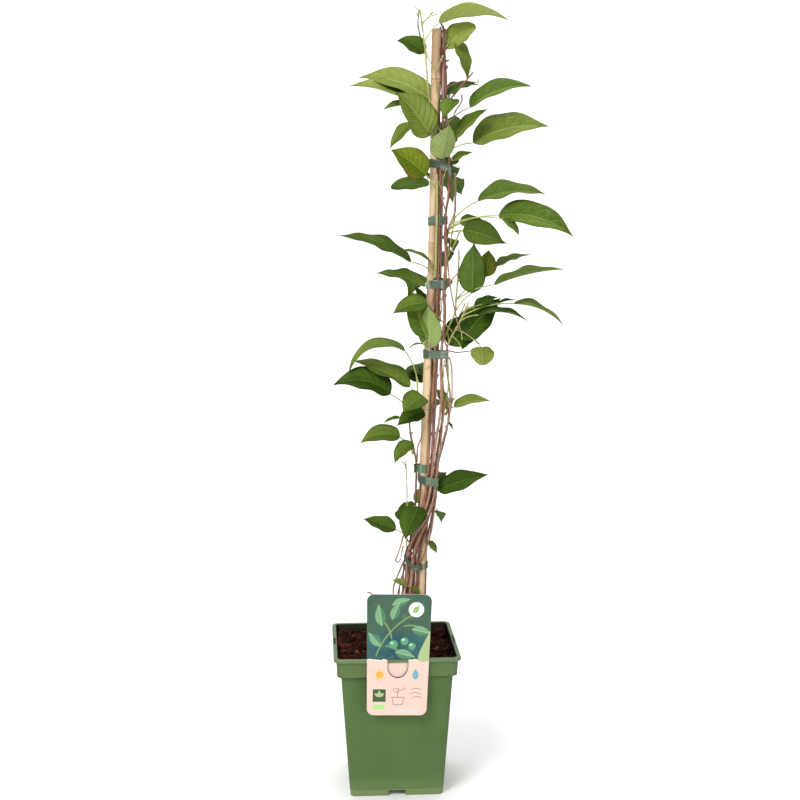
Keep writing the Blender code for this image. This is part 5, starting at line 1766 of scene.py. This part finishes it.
def leaf_finish(name, deep, mid, light, upper, speckled=False):
    """A blade's skin, drawn on its own map: 0.5 across is the midrib, and up runs to the tip."""
    leaf = Finish(name, 0.5, specular_ior_level=0.07)
    sheet = leaf.node("ShaderNodeUVMap", {"uv_map": "blade"})
    across = leaf.axis("X", sheet)
    along = leaf.axis("Y", sheet)
    away = (across * 2.0 - 1.0).size()
    patch = leaf.cloud(34, 3, 0.5)
    fine = leaf.cloud(160, 4, 0.6)
    leaf.ground(patch.within(0.3, 0.7), deep, mid)
    leaf.coat(leaf.cloud(11, 1).within(0.5, 0.68) * 0.5, light)
    leaf.coat(fine.within(0.35, 0.75) * 0.35, light)
    if upper:
        # painted light and shade: one half of the blade is painted darker, the other lighter towards the
        # midrib, for the fold's light
        far = across.within(0.47, 0.53)
        leaf.coat(far * patch.within(0.25, 0.6) * 0.6, deep)
        leaf.coat((1.0 - far) * away.within(0.95, 0.4) * 0.25, light)
    phase = (along - away * VEIN_SLANT - away * away * 0.05) * VEIN_PAIRS
    off = (phase.sum("FRACT") - 0.5).size()
    vein = off.within(0.41, 0.49) * away.within(0.96, 0.80)
    vein_groove_shade = off.within(0.22, 0.46)
    # painted shade along the veins' grooves, stronger on the upper side; the same mask sinks the bump and
    # roughens the blade
    leaf.coat(vein_groove_shade * (0.26 if upper else 0.14), [c * 0.74 for c in deep])
    shade = away.within(0.45, 0.06) * 0.5 + away.within(0.7, 1.0) * leaf.cloud(20, 2).within(0.5, 0.7)
    leaf.coat(shade * 0.6, deep)
    leaf.coat(vein * (0.5 if upper else 0.65), light)
    net = leaf.cells(1.0, "DISTANCE_TO_EDGE", leaf.stretched((16.0, 26.0, 1.0), sheet))
    net = net.within(0.09, 0.02)
    leaf.coat(net * (0.22 if upper else 0.30), light)
    rib = away.within(0.06, 0.022)
    leaf.coat(rib * (0.6 if upper else 0.8), [c * 1.05 + 4 for c in light])
    edge = away.within(0.955, 0.995)
    leaf.coat(edge * 0.35, (112, 100, 50))
    tip = along.within(0.95, 0.995)
    leaf.coat(tip * 0.85, (66, 46, 28))
    if speckled:
        rust = away.within(0.5, 0.95) * leaf.cloud(70, 4, 0.65).within(0.44, 0.60)
        leaf.coat(rust * 0.75, (138, 86, 44))
        spots = leaf.cells(300).within(0.30, 0.18) * leaf.cloud(60, 3).within(0.46, 0.56)
        leaf.coat(spots * 0.8, (132, 72, 40))
    height = vein_groove_shade * -1.0 + net * -0.25 + fine * 0.3 + rib * -0.8
    if not upper:
        height = vein * 1.0 + net * 0.35 + rib * 1.2 + fine * 0.2
    skin = leaf.relief(height, 0.6, 0.8)
    rough = 0.42 if upper else 0.62
    return leaf.feed(roughness=rough + fine * 0.16 + vein_groove_shade * 0.06, normal=skin)


def limb_finish(name, dark, light, blotched):
    limb = Finish(name, 0.55)
    ridges = limb.grain((900, 900, 60), 4, 0.6)
    limb.ground(ridges.within(0.32, 0.68), dark, light)
    limb.coat(limb.cloud(40, 4).within(0.5, 0.68) * 0.7, blotched)
    specks = limb.cells(700).within(0.16, 0.08) * limb.cloud(90, 2).within(0.52, 0.6)
    limb.coat(specks * 0.5, (128, 92, 62))
    return limb.feed(roughness=0.48 + ridges * 0.2, normal=limb.relief(ridges, 0.25, 0.6))


def make_leaves(name, masses, plans, finishes):
    """One piece of all the blades of some masses."""
    points, faces, mapped, choice = [], [], [], []
    order = list(TONES)
    for mass in masses:
        for leaf, base, tone, number in plans[mass.name]:
            some, skin, marks, sides = leaf_sheet(leaf, base, number)
            add_part(points, faces, some, skin)
            mapped += marks
            choice += [2 * order.index(tone) + side for side in sides]
    piece = new_piece(name, points, faces, finishes, choice)
    mesh = piece.data
    sheet = mesh.uv_layers.new(name="blade")
    corners = np.zeros(len(mesh.loops), np.int32)
    mesh.loops.foreach_get("vertex_index", corners)
    sheet.data.foreach_set("uv", np.array(mapped, np.float32)[corners].ravel())
    turned(piece)
    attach(piece, "root")
    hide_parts(*(mass.name for mass in masses))


def smooth_line(path):
    """A path rounded by curves that pass through all its points."""
    smooth = []
    for k in range(len(path) - 1):
        before, after = path[max(k - 1, 0)], path[min(k + 2, len(path) - 1)]
        a, b = path[k], path[k + 1]
        for step in range(SHOOT_CURVE):
            s = step / SHOOT_CURVE
            smooth.append(0.5 * (
                2 * a + (b - before) * s + (2 * before - 5 * a + 4 * b - after) * s * s
                + (3 * a - before - 3 * b + after) * s * s * s
            ))
    return smooth + [path[-1]]


def make_foliage():
    chance = random.Random(SEED)
    plans, green, brown, stalks = {}, [], [], []
    number = 0
    for mass in MASSES:
        path = shoot_path(mass)
        line = smooth_line(path)
        last = len(line) - 1
        radii = [between(SHOOT_RADIUS, SHOOT_TIP_RADIUS, k / last) for k in range(last + 1)]
        kept = []
        leaves = [Leaf(*row) for row in mass.leaves] + list(extra_leaves(mass, path, chance))
        for k, leaf in enumerate(leaves):
            number += 1
            start = point_at(path, leaf.height)
            tone = mass.tones[k] if k < len(mass.tones) else BACK_TONES[k % 3]
            for index, point in enumerate(line):
                near = exp(-((point - start).length / KNOT_REACH) ** 2)
                radii[index] = max(radii[index], SHOOT_TIP_RADIUS * (1 + KNOT * near))
            stalk = stalk_path(leaf, start)
            slim = [between(STALK_RADIUS, STALK_FOOT, exp(-k / 1.2)) for k in range(len(stalk))]
            if leaf.blade:
                slim[-1] = STALK_RADIUS * STALK_TIP
                kept.append((leaf, stalk[-1], tone, number))
                stout = min(1.0, leaf.blade / STOUT_LEAF + STALK_LEAST)
                stalks.append((stalk, [r * stout for r in slim]))
            else:
                brown.append((stalk, [r * BARE_STALK for r in slim]))
        plans[mass.name] = kept
        stout = STOUT.get(mass.name, 1.0)
        radii = [r * stout * (1 + SHOOT_UNEVEN * sin(k * 1.9)) for k, r in enumerate(radii)]
        (green if mass.name in GREEN_SHOOTS else brown).append((line, radii))
    finishes = []
    for tone, (deep, mid, light, under_deep, under_light) in TONES.items():
        finishes.append(leaf_finish(f"leaf {tone} face", deep, mid, light, True, tone == "s"))
        middle = [(a + b) / 2 for a, b in zip(under_deep, under_light)]
        finishes.append(leaf_finish(f"leaf {tone} back", under_deep, middle, under_light, False))
    thirds = (
        ("leaves_top", MASSES[:6]), ("leaves_upper", MASSES[6:9] + MASSES[17:19]),
        ("leaves_middle", MASSES[9:12] + MASSES[19:20]), ("leaves_low", MASSES[12:17] + MASSES[20:]),
    )
    for name, masses in thirds:
        make_leaves(name, masses, plans, finishes)
    for (name, sides, *tones), lines in zip(SHOOT_TONES, (green, brown, stalks)):
        piece = grow(name, lines, sides, SHOOT_RELIEF, limb_finish(*tones))
        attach(piece, "root")


make_foliage()


# ---- runners and dead twigs ----
# Thin runners of this year's growth that wind in front of the bundle, dried twigs of last
# year's, and the curled buds of the main stem's top, each grown along its own line.

# A twig's tone, its width, how far it lies behind the pot's middle, and its line of x and z
TWIGS = (
    ("maroon", 3.2, 11, ((59, 803), (56, 847), (56, 870), (54, 907))),
    ("mauve", 4.4, 8, ((61, 810), (60, 849), (57, 903))),
    ("brown", 2.8, 1, ((48, 386), (44, 362), (29, 300), (20, 268), (12, 228))),
    ("dead", 2.5, 1.5, ((40, 372), (38, 350), (31, 319), (18, 280), (7, 244), (3, 225))),
    ("brown", 2.5, 0, ((52, 367), (45, 313), (36, 281), (20, 226))),
    ("maroon", 2.2, 2, ((32, 369), (30, 343), (23, 312), (20, 275), (18, 225))),
    ("dead", 1.8, -1, ((53, 387), (47, 350), (34, 313), (28, 276), (27, 251))),
    ("brown", 2, 3, ((61, 469), (55, 408), (51, 362))),
    ("maroon", 1.8, 4, ((65, 462), (64, 437), (54, 396), (52, 379))),
    ("brown", 1.8, 1, ((55, 713), (61, 692), (59, 664), (62, 636), (58, 603), (55, 565))),
    ("maroon", 1.6, 3, ((62, 743), (66, 718), (61, 692), (64, 662), (68, 640))),
    ("brown", 1.6, 5, ((68, 826), (62, 810), (64, 789), (59, 766), (61, 743))),
    ("olive", 1.9, 6, ((33, 888), (28, 907), (29, 926))),
    ("olive", 1.3, 6, ((29, 916), (25, 924))),
    ("pale", 1.7, 6, ((32, 910), (46, 923))),
    ("maroon", 1.6, 6, ((42, 920), (45, 923))),
    ("pale", 1.6, 5, ((36, 884), (40, 871), (48, 856))),
    ("pale", 1.7, 4.6, ((57, 874), (50, 858), (48, 855), (51, 826))),
    ("dead", 2.5, 4, ((68, 827), (92, 855))),
    ("dead", 1.6, 5, ((61, 834), (64, 839), (79, 845), (91, 844))),
    ("maroon", 1.3, 5, ((90, 844), (98, 844), (98, 847))),
    ("brown", 1.9, 9, ((79, 830), (79, 822), (72, 811), (68, 800))),
    ("pale", 1.3, 3, ((62, 745), (58, 734))),
    ("pale", 1.4, 3, ((49, 736), (56, 721))),
    ("green", 2, 5, ((72, 690), (65, 650), (60, 633))),
    ("green", 1.9, 4, ((77, 671), (72, 658), (60, 635))),
    ("brown", 2, 3, ((60, 676), (62, 656), (66, 611), (74, 570), (78, 554))),
    ("brown", 1.7, 2, ((77, 624), (66, 611), (53, 586))),
    ("brown", 1.4, 9, ((85, 587), (77, 570))),
    ("straw", 1.8, 2, ((46, 577), (72, 551))),
    ("brown", 2.4, 3, ((53, 562), (65, 529))),
    ("maroon", 1.9, 6, ((76, 555), (86, 552), (102, 538))),
    ("maroon", 1.6, 5, ((66, 530), (76, 528), (93, 530))),
    ("green", 2, 6, ((64, 522), (65, 488), (62, 468))),
    ("brown", 2, 5, ((66, 522), (69, 507), (69, 466), (64, 447))),
    ("olive", 1.4, 7, ((60, 519), (59, 498))),
    ("brown", 2.2, 9, ((28, 395), (20, 425), (19, 441))),
    ("brown", 2, 8, ((28, 398), (29, 415), (40, 440))),
    ("pale", 1.3, 6, ((9, 408), (3, 394))),
    ("brown", 2.2, 4, ((14, 319), (10, 300), (3, 277))),
    ("dead", 1.8, 4, ((3, 278), (2, 273), (5, 271), (8, 276))),
    ("maroon", 2.4, 3, ((21, 320), (19, 297), (13, 279), (10, 232))),
    ("dead", 2.2, 2, ((25, 325), (19, 280), (20, 260), (16, 230))),
    ("brown", 2.4, 5, ((13, 274), (0, 244), (-1, 228))),
    ("dead", 2, 6, ((29, 319), (27, 293), (17, 274), (8, 249), (6, 228))),
    ("straw", 2, 1.5, ((14, 305), (20, 293))),
    ("straw", 2, 1.5, ((11, 293), (8, 279))),
    ("maroon", 1.7, 3, ((-33, 235), (-28, 233), (-24, 228))),
    ("maroon", 2.6, 7, ((59, 900), (54, 912))),
    ("maroon", 2, 7, ((57, 901), (58, 908))),
    ("maroon", 3.4, 6, ((57, 876), (55, 883))),
    ("maroon", 2.6, 6.5, ((58, 872), (61, 868), (64, 869))),
    ("maroon", 2.6, 6.5, ((59, 863), (62, 861), (59, 857))),
)
TWIG_TONES = {            # dark colour, light colour, colour of the blotches
    "pale": ("pale runner", (140, 146, 84), (186, 188, 128), (160, 160, 104)),
    "green": ("green runner", (112, 132, 56), (158, 170, 94), (136, 130, 74)),
    "straw": ("straw runner", (140, 124, 58), (180, 162, 86), (150, 118, 68)),
    "olive": ("olive twig", (84, 84, 50), (132, 130, 88), (104, 88, 58)),
    "brown": ("brown twig", (124, 84, 66), (184, 146, 120), (146, 104, 84)),
    "dead": ("dried twig", (112, 66, 54), (168, 120, 100), (134, 84, 70)),
    "mauve": ("mauve bark", (90, 56, 46), (146, 106, 94), (114, 78, 66)),
    "maroon": ("maroon bud", (72, 34, 32), (128, 74, 68), (100, 54, 48)),
}
TWIG_SIDES, TWIG_RELIEF, TWIG_TAPER, TWIG_JOINT = 9, 0.14, 0.35, 1.2
TWIG_WANDER = 0.5
UNDER_TIES, TIE_HOLD = 9.5, 8      # where a tie holds a twig, and how far off it lets go


def twig_line(wide, depth, line, number):
    """A twig's smooth line, drawn in behind the ties, and radii that swell at its joints."""
    path = [Vector((x, depth, z)) for x, z in line]
    smooth = smooth_line(path)
    for point in smooth:
        held = max(exp(-((point.z - tie.height) / TIE_HOLD) ** 2) for tie in TIES)
        point.y += held * max(0.0, UNDER_TIES - depth)
        point.y += TWIG_WANDER * noise.noise(Vector((number * 3.1, 0, point.z / 12)))
    radii = [wide / 2 * (1 - TWIG_TAPER * k / len(smooth)) for k in range(len(smooth))]
    for k in range(1, len(path) - 1):
        radii[k * SHOOT_CURVE] *= TWIG_JOINT
    return smooth, radii


def make_twigs():
    for tone, colours in TWIG_TONES.items():
        lines = [twig_line(*row[1:], k) for k, row in enumerate(TWIGS) if row[0] == tone]
        piece = grow(f"twigs_{tone}", lines, TWIG_SIDES, TWIG_RELIEF, limb_finish(*colours))
        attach(piece, "root")


make_twigs()
